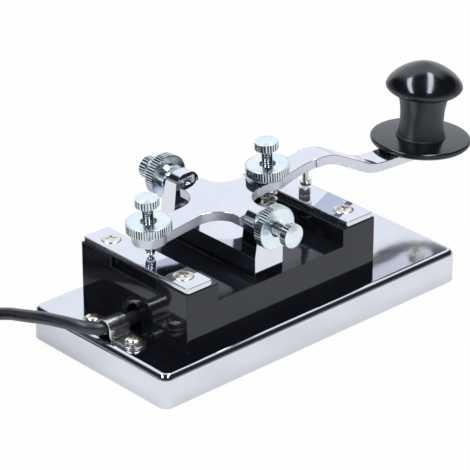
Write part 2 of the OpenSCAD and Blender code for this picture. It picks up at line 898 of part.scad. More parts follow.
module knob_screw() {
    color("silver")
        on_nose(knob_reach)
            translate([0, 0, -lever_t / 2])
                rotate([180, 0, 0])
                    pan_screw(m4_head_d, m4_head_h, m4_r, lever_t + skirt_t + knob_bore - 1);
}

// Rear stop screw, its ball end on the rear plate
module stop_stud() {
    ball = [for (a = [0 : 10 : 90]) [thread_r * sin(a), -stop_drop - thread_r * cos(a)]];
    color("lightsteelblue")
        on_lever(-stop_reach)
            stud(ball, thumb_rise);
}

module stop_thumb() {
    color("lightsteelblue")
        on_lever(-stop_reach, thumb_rise)
            thumb_head();
}

module stop_nut() {
    color("lightsteelblue")
        on_lever(-stop_reach, lever_t / 2)
            lock_nut();
}

// Tension screw, with the flange that presses on the spring and a pilot inside the spring
module tension_stud() {
    seat = -flange_drop - flange_t;
    flange = [[0, seat - pilot_l], [pilot_r, seat - pilot_l], [pilot_r, seat], [flange_r, seat],
              [flange_r, -flange_drop], [thread_r, -flange_drop]];
    color("lightsteelblue")
        on_lever(tension_reach)
            stud(flange, thumb_rise);
}

module tension_thumb() {
    color("lightsteelblue")
        on_lever(tension_reach, thumb_rise)
            thumb_head();
}

module tension_nut() {
    color("lightsteelblue")
        on_lever(tension_reach, lever_t / 2)
            lock_nut();
}

// Return spring: one wire, its curls counted by spring_turns
module return_spring() {
    steps = spring_turns * spring_steps;
    rise = spring_top - spring_bottom;
    wire = [for (i = [0 : steps])
        let (a = 360 * i / spring_steps)
        [spring_r * cos(a), spring_r * sin(a), spring_bottom + rise * i / steps]];
    color("goldenrod")
        on_lever(tension_reach)
            tube(wire, spring_wire_d / 2, 6);
    echo(spring_gap = self_gap(wire, spring_steps - 1, spring_wire_d / 2));
}

// Pivot screws with cone points
module pivot_stud(side, face) {
    point = [[0, point_tip], [thread_r, point_tip + point_l]];
    color("lightsteelblue")
        on_pivot(side)
            stud(point, face - thumb_h);
}

module pivot_thumb(side, face) {
    color("lightsteelblue")
        on_pivot(side)
            translate([0, 0, face - thumb_h])
                thumb_head();
}

module pivot_nut(side, collar_h, collar_half) {
    color("lightsteelblue")
        on_pivot(side)
            translate([0, 0, yoke_w / 2])
                lock_nut(collar_h, collar_half);
}

// Lower contact: a post on the front plate, held by a nut inside the body
module lower_contact() {
    shank = plate_top - trough_top + lug_t + contact_nut_h + 1;
    color("whitesmoke")
        translate([contact_x, 0, plate_top]) {
            cylinder(r = contact_r, h = lower_contact_top - plate_top);
            translate([0, 0, -shank])
                cylinder(r = m3_r, h = shank);
        }
}

module contact_nut() {
    color("silver")
        translate([contact_x, 0, trough_top - lug_t - contact_nut_h])
            difference() {
                cylinder(d = contact_nut_d, h = contact_nut_h, $fn = 6);
                translate([0, 0, -1])
                    cylinder(r = m3_r + fit, h = contact_nut_h + 2);
            }
}

module contact_lug() {
    color("gold")
        translate([contact_x, 0, trough_top - lug_t])
            difference() {
                union() {
                    cylinder(r = 3.2, h = lug_t);
                    translate([-contact_lug_l, -1.3, 0])
                        cube([contact_lug_l, 2.6, lug_t]);
                }
                translate([0, 0, -1])
                    cylinder(r = m3_r + fit, h = lug_t + 2);
            }
}

module contact_wire() {
    color("royalblue")
        tube(contact_wire_route, wire_r, 8);
}

// Saddle clamp over the cord, on the base's rear ledge
module cord_clamp() {
    color("silver")
        translate([clamp_x, 0, base_h])
            difference() {
                union() {
                    translate([-clamp_l / 2, 0, 0])
                        rotate([90, 0, 90])
                            linear_extrude(clamp_l)
                                clamp_outline();
                    for (s = [-1, 1])
                        translate([0, s * clamp_screw_y, 0])
                            cylinder(r = clamp_ear_r, h = clamp_t);
                }
                for (s = [-1, 1])
                    translate([0, s * clamp_screw_y, -1])
                        cylinder(r = m3_r + fit, h = clamp_t + 2);
            }
}

module clamp_outline() {
    inner = cord_r + clamp_play;
    outer = inner + clamp_t;
    arch_z = cord_z - base_h;
    difference() {
        union() {
            translate([-clamp_screw_y, 0])
                square([2 * clamp_screw_y, clamp_t]);
            translate([-outer, 0])
                square([2 * outer, arch_z]);
            translate([0, arch_z])
                circle(outer);
        }
        translate([0, arch_z])
            circle(inner);
        translate([-inner, -outer])
            square([2 * inner, outer + arch_z]);
        translate([-outer, -outer])
            square([2 * outer, outer]);
    }
}

module clamp_screws() {
    color("silver")
        for (s = [-1, 1])
            translate([clamp_x, s * clamp_screw_y, base_h + clamp_t])
                pan_screw(clamp_head_d, clamp_head_h, m3_r, clamp_t + clamp_screw_depth);
}

// Cord, coil, tail and tie
module cord() {
    color("dimgray")
        tube(cord_route, cord_r, 8);
}

module cord_coil() {
    wind = coil_turns * coil_steps;
    climb = coil_steps / 2;
    pitch = (coil_outer_r - coil_inner_r) / wind;
    high_z = coil_low_z + coil_layer;
    function spot(i, r, z) =
        [coil_centre[0] + r * cos(360 * i / coil_steps), coil_centre[1] + r * sin(360 * i / coil_steps), z];
    low = [for (i = [0 : wind]) spot(i, coil_outer_r - pitch * i, coil_low_z)];
    rise = [for (i = [1 : climb - 1])
        let (f = 180 * i / climb)
        spot(wind + i, coil_inner_r - coil_dip * sin(f), coil_low_z + coil_layer * (1 - cos(f)) / 2)];
    high = [for (i = [0 : wind]) spot(wind + climb + i, coil_inner_r + pitch * i, high_z)];
    path = concat(low, rise, high);
    color("dimgray")
        tube(path, cord_r, 6);
    echo(coil_gap = self_gap(path, coil_steps / 2, cord_r));
}

module cord_tail() {
    color("dimgray")
        tube(tail_route, cord_r, 8);
}

// Strap round the coil on the side away from the climb
module coil_tie() {
    low = coil_low_z - cord_r - gap / 2;
    high = coil_low_z + coil_layer + cord_r + gap / 2;
    span = tie_inner[1] - tie_inner[0];
    color("black")
        translate([coil_centre[0] - tie_w / 2, coil_centre[1], 0])
            rotate([90, 0, 90])
                linear_extrude(tie_w)
                    difference() {
                        translate([-tie_inner[1] - tie_t, low - tie_t])
                            square([span + 2 * tie_t, high - low + 2 * tie_t]);
                        translate([-tie_inner[1], low])
                            square([span, high - low]);
                    }
}

// Plug: moulded cover with a tapered boot, sleeve, insulating ring and tip
module on_plug(y) {
    translate([plug_x, y, plug_z])
        rotate([90, 0, 0])
            children();
}

module plug_cover() {
    boot_r = [2.7, 3.3];
    edge = 0.7;
    end = boot_l + cover_l;
    color("black")
        on_plug(boot_y)
            rotate_extrude()
                polygon([[0, 0], [boot_r[0], 0], [boot_r[1], boot_l], [plug_r - edge, boot_l],
                         [plug_r, boot_l + edge], [plug_r, end - edge], [plug_r - edge, end], [0, end]]);
}

module plug_sleeve() {
    color("gainsboro")
        on_plug(sleeve_y)
            cylinder(r = sleeve_r, h = sleeve_l);
}

module plug_ring() {
    color("black")
        on_plug(sleeve_y - sleeve_l)
            cylinder(r = sleeve_r, h = ring_l);
}

module plug_tip() {
    shoulder_r = 1.6;
    waist_r = 1;
    point_r = 0.6;
    color("gainsboro")
        on_plug(sleeve_y - sleeve_l - ring_l)
            rotate_extrude()
                polygon([[0, 0], [shoulder_r, 0], [waist_r, 1.4],
                         [sleeve_r, 2.4], [point_r, tip_l], [0, tip_l]]);
}

base_plate();
base_pad();
body_block();
body_screws();
rear_plate();
front_plate();
rear_plate_screws();
front_plate_screws();
yoke();
yoke_screws();
yoke_lug();
yoke_wire();
lever();
upper_contact();
knob();
knob_skirt();
knob_screw();
stop_stud();
stop_thumb();
stop_nut();
tension_stud();
tension_thumb();
tension_nut();
return_spring();
pivot_stud(-1, near_pivot_face);  // near_pivot_stud
pivot_thumb(-1, near_pivot_face);  // near_pivot_thumb
pivot_nut(-1, collar_t, collar_r);  // near_pivot_nut
pivot_stud(1, far_pivot_face);  // far_pivot_stud
pivot_thumb(1, far_pivot_face);  // far_pivot_thumb
pivot_nut(1, far_collar_t, far_collar_r);  // far_pivot_nut
lower_contact();
contact_nut();
contact_lug();
contact_wire();
cord_clamp();
clamp_screws();
cord();
cord_coil();
cord_tail();
coil_tie();
plug_cover();
plug_sleeve();
plug_ring();
plug_tip();
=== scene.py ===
"""Looks of a straight telegraph key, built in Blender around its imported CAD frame.

Sizes are in millimetres, as in the CAD model, and the meshes are made in metres.
+X runs towards the knob, +Z is up, and the origin is the centre of the underside.
"""

import json
import logging
import math
from collections.abc import Callable, Sequence
from dataclasses import dataclass
from enum import Enum

import bmesh
import bpy
from mathutils import Matrix, Vector

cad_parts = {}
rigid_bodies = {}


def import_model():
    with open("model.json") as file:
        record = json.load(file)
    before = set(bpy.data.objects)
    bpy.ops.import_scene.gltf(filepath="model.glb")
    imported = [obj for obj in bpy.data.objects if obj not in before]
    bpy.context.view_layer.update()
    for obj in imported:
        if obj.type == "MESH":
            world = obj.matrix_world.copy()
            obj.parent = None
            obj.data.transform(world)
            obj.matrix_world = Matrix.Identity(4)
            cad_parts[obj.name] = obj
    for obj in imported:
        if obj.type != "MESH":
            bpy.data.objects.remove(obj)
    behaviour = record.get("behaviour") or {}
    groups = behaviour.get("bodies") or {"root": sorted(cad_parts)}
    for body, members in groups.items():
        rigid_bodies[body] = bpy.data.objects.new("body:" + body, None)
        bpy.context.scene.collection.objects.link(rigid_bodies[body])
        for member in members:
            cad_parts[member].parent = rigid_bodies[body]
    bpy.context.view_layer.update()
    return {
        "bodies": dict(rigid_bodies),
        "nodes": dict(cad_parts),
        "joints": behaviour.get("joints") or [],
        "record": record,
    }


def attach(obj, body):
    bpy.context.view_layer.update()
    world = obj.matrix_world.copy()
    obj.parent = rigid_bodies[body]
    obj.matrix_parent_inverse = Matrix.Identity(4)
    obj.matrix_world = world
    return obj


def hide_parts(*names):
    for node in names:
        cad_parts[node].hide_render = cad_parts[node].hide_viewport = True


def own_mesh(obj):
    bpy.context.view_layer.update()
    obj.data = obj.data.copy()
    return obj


LOG = logging.getLogger("telegraph_key")
MM = 0.001

# How far a cutter or a joined block runs past a face
PAST = 1.0

# A radius or a turn below this counts as none
NONE_BELOW = 1e-6

# Attributes of the meshes that the finishes read
# groove: depth between ribs and thread ridges, which the zinc finish turns into painted shade
GROOVE = "groove"
CUT_EDGE = "cut_edge"
TURN_RADIUS = "turn_radius"

Point2 = tuple[float, float]
Point3 = tuple[float, float, float]
Object = bpy.types.Object
Socket = bpy.types.NodeSocket
Tree = bpy.types.NodeTree


class Body(Enum):
    """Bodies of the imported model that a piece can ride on."""

    FRAME = "frame"
    LEVER = "lever"


class Side(Enum):
    """Sides of the key, by the sign of Y."""

    NEAR = -1
    FAR = 1


class HeadForm(Enum):
    """Forms of a screw's head."""

    PAN = "pan"
    RAISED = "raised countersunk"


class Slot(Enum):
    """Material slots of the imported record."""

    BASE_CHROME = "base_chrome"
    PART_CHROME = "part_chrome"
    BODY_BLACK = "body_black"
    PAD_RUBBER = "pad_rubber"
    SCREW_STEEL = "screw_steel"
    ZINC_STEEL = "zinc_steel"
    SPRING_WIRE = "spring_wire"
    CONTACT_METAL = "contact_metal"
    LUG_BRASS = "lug_brass"
    WIRE_RED = "wire_red"
    WIRE_BLUE = "wire_blue"
    CLAMP_STEEL = "clamp_steel"
    KNOB_BLACK = "knob_black"
    CORD_SHEATH = "cord_sheath"
    TIE_STRAP = "tie_strap"
    PLUG_BLACK = "plug_black"
    PLUG_METAL = "plug_metal"


@dataclass(frozen=True)
class KeySizes:
    """Sizes and places that several pieces share, in millimetres and degrees."""

    base_l: float = 139.0
    base_w: float = 70.0
    base_h: float = 13.0
    rear_ledge: float = 16.8
    body_w: float = 54.2
    body_h: float = 21.4
    channel_depth: float = 6.5
    plinth_h: float = 2.2
    plate_t: float = 2.0
    front_margin: float = 7.7
    pivot_inset: float = 39.7
    pivot_h: float = 16.1
    yoke_l: float = 12.7
    upright_t: float = 7.0
    yoke_gap: float = 34.4
    lever_t: float = 3.5
    lever_tilt: float = 4.1
    stop_reach: float = 32.3
    tension_reach: float = 22.3
    contact_reach: float = 40.0
    arm_bend: float = 32.1
    nose_drop: float = 7.2
    bend_start: float = 41.5
    bend_r: Point2 = (20.0, 24.0)
    bend_run: float = 14.0
    knob_reach: float = 23.7
    cord_d: float = 4.4
    cord_z: float = 15.9

    @property
    def base_x0(self) -> float:
        """Rear end of the base."""
        return -self.base_l / 2

    @property
    def body_x0(self) -> float:
        """Rear face of the body."""
        return self.base_x0 + self.rear_ledge

    @property
    def pivot_x(self) -> float:
        """Place of the pivot axis along the key."""
        return self.body_x0 + self.pivot_inset

    @property
    def contact_x(self) -> float:
        """Place of the contacts along the key."""
        return self.pivot_x + self.contact_reach * math.cos(math.radians(self.lever_tilt))

    @property
    def body_x1(self) -> float:
        """Front face of the body."""
        return self.contact_x + self.front_margin

    @property
    def body_top(self) -> float:
        """Height of the body's end blocks."""
        return self.base_h + self.body_h

    @property
    def channel_z(self) -> float:
        """Height of the channel's floor."""
        return self.body_top - self.channel_depth

    @property
    def plinth_z(self) -> float:
        """Height of the step that carries the yoke."""
        return self.channel_z + self.plinth_h

    @property
    def plate_top(self) -> float:
        """Height of the two top plates."""
        return self.body_top + self.plate_t

    @property
    def pivot_z(self) -> float:
        """Height of the pivot axis."""
        return self.plinth_z + self.pivot_h

    @property
    def yoke_w(self) -> float:
        """Width of the yoke over its uprights."""
        return self.yoke_gap + 2 * self.upright_t

    def on_lever(self, along: float, above: float = 0.0) -> Matrix:
        """Find a place on the tilted lever.

        Args:
            along: Distance from the pivot along the lever.
            above: Height above the lever's middle plane.

        Returns:
            The place, with its Z axis square to the lever.
        """
        pivot = Matrix.Translation((self.pivot_x, 0.0, self.pivot_z))
        tilt = Matrix.Rotation(-math.radians(self.lever_tilt), 4, "Y")
        return pivot @ tilt @ Matrix.Translation((along, 0.0, above))

    def on_nose(self, above: float) -> Matrix:
        """Find a place on the knob's axis, which is square to the lever's nose.

        Args:
            above: Height above the nose's middle plane.

        Returns:
            The place, with its Z axis along the knob's axis.
        """
        bend = math.radians(self.arm_bend)
        drop = math.radians(self.nose_drop)
        first, second = self.bend_r
        along = self.bend_start + first * math.sin(bend) + self.bend_run * math.cos(bend)
        rise = first * (math.cos(bend) - 1) - self.bend_run * math.sin(bend)
        along += second * (math.sin(bend) - math.sin(drop)) + self.knob_reach * math.cos(drop)
        rise += second * (math.cos(bend) - math.cos(drop)) - self.knob_reach * math.sin(drop)
        turn = Matrix.Rotation(drop, 4, "Y")
        return self.on_lever(along, rise) @ turn @ Matrix.Translation((0.0, 0.0, above))

    def on_pivot(self, side: Side) -> Matrix:
        """Return the pivot's place with the local Z axis pointing out of one side."""
        pivot = Matrix.Translation((self.pivot_x, 0.0, self.pivot_z))
        return pivot @ Matrix.Rotation(-math.pi / 2 * side.value, 4, "X")


KEY = KeySizes()


# Node trees


class NodeBench:
    """Adds nodes to one tree and links them."""

    def __init__(self, tree: Tree) -> None:
        """Keep the tree that the nodes go into."""
        self.tree = tree

    def feed(self, node: bpy.types.Node, inputs: dict) -> None:
        """Set a node's inputs.

        Args:
            node: The node.
            inputs: Values or other nodes' sockets, by the inputs' names or places.
        """
        for name, value in inputs.items():
            if isinstance(value, Socket):
                self.tree.links.new(value, node.inputs[name])
            else:
                node.inputs[name].default_value = value

    def add(self, kind: str, inputs: dict | None = None, **settings: object) -> bpy.types.Node:
        """Add one node.

        Args:
            kind: Blender's name of the node type.
            inputs: Values or sockets for the node's inputs, by name or place.
            settings: Properties of the node, set before its inputs.

        Returns:
            The new node.
        """
        node = self.tree.nodes.new(kind)
        for name, value in settings.items():
            setattr(node, name, value)
        self.feed(node, inputs or {})
        return node

    def math(self, operation: str, first: Socket | float, second: Socket | float = 0.0) -> Socket:
        """Add a Math node and return its result."""
        return self.add("ShaderNodeMath", {0: first, 1: second}, operation=operation).outputs[0]

    def invert(self, value: Socket) -> Socket:
        """Return what a value leaves of 1."""
        return self.math("SUBTRACT", 1.0, value)

    def ramp(self, value: Socket, low: float, high: float) -> Socket:
        """Return a value's smooth way from 0 at a low end to 1 at a high end."""
        spread = {"Value": value, "From Min": low, "From Max": high}
        return self.add("ShaderNodeMapRange", spread, interpolation_type="SMOOTHSTEP").outputs["Result"]

    def noise(self, place: Socket, scale: Socket | float, detail: float) -> Socket:
        """Return the value of a noise over a place."""
        inputs = {"Vector": place, "Scale": scale, "Detail": detail}
        return self.add("ShaderNodeTexNoise", inputs).outputs[0]

    def split(self, vector: Socket, axis: str) -> Socket:
        """Return a vector's share along one axis."""
        return self.add("ShaderNodeSeparateXYZ", {0: vector}).outputs[axis]

    def upright(self, height: Socket) -> Socket:
        """Return a vector along Z."""
        return self.add("ShaderNodeCombineXYZ", {"Z": height}).outputs[0]

    def blend(self, factor: Socket, first: object, second: object) -> Socket:
        """Mix two colours.

        Args:
            factor: Share of the second colour.
            first: A colour, or the socket of one.
            second: The other colour.

        Returns:
            The socket of the mixed colour.
        """
        inputs = {0: factor}
        for place, colour in ((6, first), (7, second)):
            inputs[place] = colour if isinstance(colour, Socket) else (*colour, 1.0)
        return self.add("ShaderNodeMix", inputs, data_type="RGBA").outputs[2]


def add_sockets(tree: Tree, way: str, sockets: dict[str, str]) -> None:
    """Give a tree its named inputs or outputs.

    Args:
        tree: The tree.
        way: INPUT or OUTPUT.
        sockets: Each socket's name and its kind, such as Float.
    """
    for name, kind in sockets.items():
        tree.interface.new_socket(name=name, in_out=way, socket_type=f"NodeSocket{kind}")


def shared_tree(name: str, kind: str, build: Callable[[Tree], None]) -> Tree:
    """Find a tree by its name, and build it on its first use.

    Args:
        name: Name of the tree.
        kind: Blender's name of the tree's type.
        build: Function that fills the tree.

    Returns:
        The tree.
    """
    tree = bpy.data.node_groups.get(name)
    if tree is None:
        tree = bpy.data.node_groups.new(name, kind)
        build(tree)
    return tree


# Shader groups and finishes


def build_handling_marks(tree: Tree) -> None:
    """Fill the group of smudges and fine scratches, as a change of roughness and a height.

    Args:
        tree: The group's tree.
    """
    add_sockets(tree, "INPUT", {
        "Vector": "Vector", "Scale": "Float", "Smudge": "Float", "Scratch": "Float"})
    add_sockets(tree, "OUTPUT", {"Roughness": "Float", "Height": "Float"})
    bench = NodeBench(tree)
    given = bench.add("NodeGroupInput").outputs
    cloud_middle = 0.45
    cloud = bench.noise(given["Vector"], given["Scale"], 5.0)
    smudge = bench.math("MULTIPLY", bench.math("SUBTRACT", cloud, cloud_middle), given["Smudge"])
    stretch = (1.0, 40.0, 25.0)
    line_band = (0.66, 0.74)
    scratch_rough = 0.12
    lines = None
    for turn in (0.4, 1.5):
        laid = bench.add("ShaderNodeMapping", {
            "Vector": given["Vector"], "Rotation": (0.3, 0.2, turn), "Scale": stretch})
        line = bench.ramp(bench.noise(laid.outputs[0], given["Scale"], 2.0), *line_band)
        lines = line if lines is None else bench.math("MAXIMUM", lines, line)
    scratch = bench.math("MULTIPLY", lines, given["Scratch"])
    rough = bench.math("ADD", smudge, bench.math("MULTIPLY", scratch, scratch_rough))
    bench.add("NodeGroupOutput", {"Roughness": rough, "Height": scratch})


def build_moulded_grain(tree: Tree) -> None:
    """Fill the group of a moulded surface: fine grain as a height, and slow waves as a mask.

    Args:
        tree: The group's tree.
    """
    add_sockets(tree, "INPUT", {"Vector": "Vector", "Grain scale": "Float", "Wave scale": "Float"})
    add_sockets(tree, "OUTPUT", {"Height": "Float", "Mask": "Float"})
    bench = NodeBench(tree)
    given = bench.add("NodeGroupInput").outputs
    grain_share = 0.5
    mask_band = (0.35, 0.65)
    grain = bench.noise(given["Vector"], given["Grain scale"], 3.0)
    wave = bench.noise(given["Vector"], given["Wave scale"], 2.0)
    height = bench.math("ADD", bench.math("MULTIPLY", grain, grain_share), wave)
    bench.add("NodeGroupOutput", {"Height": height, "Mask": bench.ramp(wave, *mask_band)})


def new_material(name: str) -> tuple[bpy.types.Material, NodeBench, bpy.types.Node]:
    """Make a material with one Principled BSDF.

    Args:
        name: The material's name.

    Returns:
        The material, a bench for its nodes and its shader node.
    """
    material = bpy.data.materials.new(name)
    material.use_nodes = True
    bench = NodeBench(material.node_tree)
    return material, bench, material.node_tree.nodes["Principled BSDF"]


@dataclass(frozen=True)
class Finish:
    """A finish of the key's pieces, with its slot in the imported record."""

    name: str
    slot: Slot

    def material(self) -> bpy.types.Material:
        """Find the finish's material, and make it on its first use.

        Returns:
            The material.
        """
        known = bpy.data.materials.get(self.name)
        if known:
            return known
        material, bench, shader = new_material(self.name)
        place = bench.add("ShaderNodeTexCoord").outputs["Object"]
        bench.feed(shader, self.surface(bench, place))
        return material

    def surface(self, bench: NodeBench, place: Socket) -> dict[str, object]:
        """Return the shader's inputs, which each kind of finish makes in its own way."""
        raise NotImplementedError


@dataclass(frozen=True)
class Metal(Finish):
    """A plated or bare metal, with smudges, fine scratches and, if turned, lathe rings; where groove is
    set, painted shade darkens the grooves between ribs and ridges.
    """

    colour: Point3
    tint: Point3
    roughness: float
    smudge: float
    scratch: float
    mark_scale: float
    relief: float
    ring_pitch: float = 0.0
    wave: float = 0.0
    wave_height: float = 6.0
    # Strength of the painted shade that darkens the grooves towards groove_shade_colour
    groove: float = 0.0
    groove_shade_colour: Point3 = (0.02, 0.022, 0.025)
    groove_shade_band: Point2 = (0.12, 0.62)
    groove_rough: float = 0.3
    edge_rough: float = 0.0
    least_rough: float = 0.03
    drift_scale: float = 1.7
    drift_band: Point2 = (0.3, 0.7)

    def surface(self, bench: NodeBench, place: Socket) -> dict[str, object]:
        """Make the metal's surface.

        Args:
            bench: Bench of the material's nodes.
            place: Socket of the Object coordinates.

        Returns:
            The shader's inputs.
        """
        marks = bench.add("ShaderNodeGroup", {
            "Vector": place, "Scale": self.mark_scale, "Smudge": self.smudge, "Scratch": self.scratch,
        }, node_tree=shared_tree("Handling marks", "ShaderNodeTree", build_handling_marks)).outputs
        drift = bench.noise(place, self.mark_scale * self.drift_scale, 3.0)
        colour = bench.blend(bench.ramp(drift, *self.drift_band), self.colour, self.tint)
        rough = bench.math("ADD", marks["Roughness"], self.roughness)
        # Painted shade: grooves between ribs and thread ridges are darkened towards groove_shade_colour,
        # and made rougher
        if self.groove:
            depth = bench.add("ShaderNodeAttribute", attribute_name=GROOVE).outputs["Fac"]
            shade = bench.math("MULTIPLY", bench.ramp(depth, *self.groove_shade_band), self.groove)
            colour = bench.blend(shade, colour, self.groove_shade_colour)
            rough = bench.math("ADD", rough, bench.math("MULTIPLY", shade, self.groove_rough))
        if self.edge_rough:
            cut = bench.add("ShaderNodeAttribute", attribute_name=CUT_EDGE).outputs["Fac"]
            rough = bench.math("ADD", rough, bench.math("MULTIPLY", cut, self.edge_rough))
        rough = bench.math("MAXIMUM", rough, self.least_rough)
        height = bench.math("MULTIPLY", marks["Height"], -1.0)
        if self.ring_pitch:
            radius = bench.add("ShaderNodeAttribute", attribute_name=TURN_RADIUS).outputs["Fac"]
            phase = bench.math("MULTIPLY", radius, 2 * math.pi / (self.ring_pitch * MM))
            height = bench.math("ADD", height, bench.math("SINE", phase))
        if self.wave:
            slow = bench.noise(place, self.wave, 1.0)
            height = bench.math("ADD", height, bench.math("MULTIPLY", slow, self.wave_height))
        bump = bench.add("ShaderNodeBump", {
            "Height": height, "Distance": self.relief * MM, "Strength": 1.0})
        return {
            "Metallic": 1.0,
            "Base Color": colour,
            "Roughness": rough,
            "Normal": bump.outputs["Normal"],
        }


@dataclass(frozen=True)
class Moulding(Finish):
    """A moulded plastic or rubber, with fine grain, slow waves and a slight bloom.

    A finish with satin is duller below the height satin_top.
    """

    colour: Point3
    bloom: Point3
    roughness: float
    spread: float
    grain_scale: float
    wave_scale: float
    relief: float
    gloss: float = 0.5
    sheen: Point3 = (0.82, 0.89, 1.0)
    satin: float = 0.0
    satin_top: float = 0.0
    satin_fade: float = 3.0

    def surface(self, bench: NodeBench, place: Socket) -> dict[str, object]:
        """Make the plastic's surface.

        Args:
            bench: Bench of the material's nodes.
            place: Socket of the Object coordinates.

        Returns:
            The shader's inputs.
        """
        grain = bench.add("ShaderNodeGroup", {
            "Vector": place, "Grain scale": self.grain_scale, "Wave scale": self.wave_scale,
        }, node_tree=shared_tree("Moulded grain", "ShaderNodeTree", build_moulded_grain)).outputs
        rough = bench.math("ADD", bench.math("MULTIPLY", grain["Mask"], self.spread), self.roughness)
        if self.satin:
            fade = (self.satin_top - self.satin_fade) * MM
            polish = bench.ramp(bench.split(place, "Z"), fade, self.satin_top * MM)
            rough = bench.math("ADD", rough, bench.math("MULTIPLY", bench.invert(polish), self.satin))
        bump = bench.add("ShaderNodeBump", {"Height": grain["Height"], "Distance": self.relief * MM})
        return {
            "Base Color": bench.blend(grain["Mask"], self.colour, self.bloom),
            "Roughness": rough,
            "Normal": bump.outputs["Normal"],
            "Specular IOR Level": self.gloss,
            "Specular Tint": (*self.sheen, 1.0),
        }


@dataclass(frozen=True)
class Webbing(Finish):
    """A woven strap, its weave drawn by two crossed waves."""

    colour: Point3
    thread: Point3
    roughness: float = 0.85
    pitch: float = 0.7
    relief: float = 0.15

    def surface(self, bench: NodeBench, place: Socket) -> dict[str, object]:
        """Make the strap's surface.

        Args:
            bench: Bench of the material's nodes.
            place: Socket of the Object coordinates.

        Returns:
            The shader's inputs.
        """
        threads = []
        for direction in ("X", "DIAGONAL"):
            wave = bench.add("ShaderNodeTexWave", {"Vector": place, "Scale": 0.3 / (self.pitch * MM)},
                             bands_direction=direction)
            threads.append(wave.outputs["Fac"])
        weave = bench.math("MULTIPLY", *threads)
        bump = bench.add("ShaderNodeBump", {"Height": weave, "Distance": self.relief * MM})
        return {
            "Base Color": bench.blend(weave, self.colour, self.thread),
            "Roughness": self.roughness,
            "Normal": bump.outputs["Normal"],
        }


BASE_CHROME = Metal(
    "Base chrome", Slot.BASE_CHROME, (0.755, 0.782, 0.85), (0.785, 0.812, 0.88),
    roughness=0.09, smudge=0.10, scratch=0.3, mark_scale=45.0, relief=0.004, wave=180.0)
PART_CHROME = Metal(
    "Part chrome", Slot.PART_CHROME, (0.79, 0.815, 0.89), (0.82, 0.845, 0.92),
    roughness=0.05, smudge=0.05, scratch=0.2, mark_scale=70.0, relief=0.003, wave=120.0, edge_rough=0.4)
# Zinc's groove value paints shade into the grooves between knurl ribs and thread ridges
ZINC = Metal(
    "Zinc plating", Slot.ZINC_STEEL, (0.78, 0.90, 0.99), (0.90, 0.97, 1.0),
    roughness=0.18, smudge=0.10, scratch=0.3, mark_scale=160.0, relief=0.004, ring_pitch=0.22, groove=0.92)
SCREW_NICKEL = Metal(
    "Screw nickel", Slot.SCREW_STEEL, (0.80, 0.77, 0.71), (0.88, 0.86, 0.81),
    roughness=0.24, smudge=0.10, scratch=0.3, mark_scale=220.0, relief=0.006)
SPRING_STEEL = Metal(
    "Spring steel", Slot.SPRING_WIRE, (0.60, 0.58, 0.55), (0.70, 0.68, 0.65),
    roughness=0.20, smudge=0.10, scratch=0.4, mark_scale=300.0, relief=0.006)
CONTACT_SILVER = Metal(
    "Contact silver", Slot.CONTACT_METAL, (0.84, 0.84, 0.83), (0.90, 0.90, 0.89),
    roughness=0.24, smudge=0.08, scratch=0.3, mark_scale=250.0, relief=0.004)
CLAMP_NICKEL = Metal(
    "Clamp nickel", Slot.CLAMP_STEEL, (0.80, 0.80, 0.82), (0.88, 0.88, 0.90),
    roughness=0.22, smudge=0.15, scratch=0.4, mark_scale=260.0, relief=0.008)
LUG_BRASS = Metal(
    "Lug brass", Slot.LUG_BRASS, (0.72, 0.53, 0.22), (0.78, 0.62, 0.32),
    roughness=0.30, smudge=0.15, scratch=0.4, mark_scale=200.0, relief=0.006)
PLUG_NICKEL = Metal(
    "Plug nickel", Slot.PLUG_METAL, (0.72, 0.71, 0.69), (0.78, 0.77, 0.75),
    roughness=0.14, smudge=0.08, scratch=0.3, mark_scale=250.0, relief=0.004)
BODY_BLACK = Moulding(
    "Body black", Slot.BODY_BLACK, (0.008, 0.0088, 0.0125), (0.010, 0.011, 0.015),
    roughness=0.055, spread=0.03, grain_scale=2200.0, wave_scale=60.0, relief=0.002, gloss=0.6)
KNOB_BLACK = Moulding(
    "Knob black", Slot.KNOB_BLACK, (0.005, 0.0054, 0.0075), (0.007, 0.0075, 0.010),
    roughness=0.10, spread=0.05, grain_scale=1800.0, wave_scale=70.0, relief=0.004, gloss=1.0,
    satin=0.32, satin_top=63.0)
SKIRT_BLACK = Moulding(
    "Skirt black", Slot.KNOB_BLACK, (0.006, 0.0065, 0.009), (0.008, 0.0087, 0.0115),
    roughness=0.17, spread=0.05, grain_scale=1800.0, wave_scale=70.0, relief=0.004, gloss=0.8)
CORD_PVC = Moulding(
    "Cord sheath", Slot.CORD_SHEATH, (0.020, 0.020, 0.026), (0.028, 0.028, 0.035),
    roughness=0.26, spread=0.10, grain_scale=2600.0, wave_scale=120.0, relief=0.02, gloss=0.9)
PAD_RUBBER = Moulding(
    "Pad rubber", Slot.PAD_RUBBER, (0.020, 0.020, 0.020), (0.032, 0.031, 0.030),
    roughness=0.75, spread=0.10, grain_scale=1500.0, wave_scale=200.0, relief=0.06)
PLUG_BLACK = Moulding(
    "Plug cover", Slot.PLUG_BLACK, (0.016, 0.016, 0.017), (0.022, 0.022, 0.024),
    roughness=0.40, spread=0.10, grain_scale=2400.0, wave_scale=150.0, relief=0.02)
WIRE_RED = Moulding(
    "Red wire", Slot.WIRE_RED, (0.42, 0.03, 0.03), (0.50, 0.06, 0.05),
    roughness=0.40, spread=0.10, grain_scale=2600.0, wave_scale=300.0, relief=0.01)
WIRE_BLUE = Moulding(
    "Blue wire", Slot.WIRE_BLUE, (0.03, 0.07, 0.36), (0.06, 0.11, 0.42),
    roughness=0.40, spread=0.10, grain_scale=2600.0, wave_scale=300.0, relief=0.01)
TIE_WEAVE = Webbing("Tie strap", Slot.TIE_STRAP, (0.012, 0.012, 0.013), (0.035, 0.035, 0.037))


# Mesh making


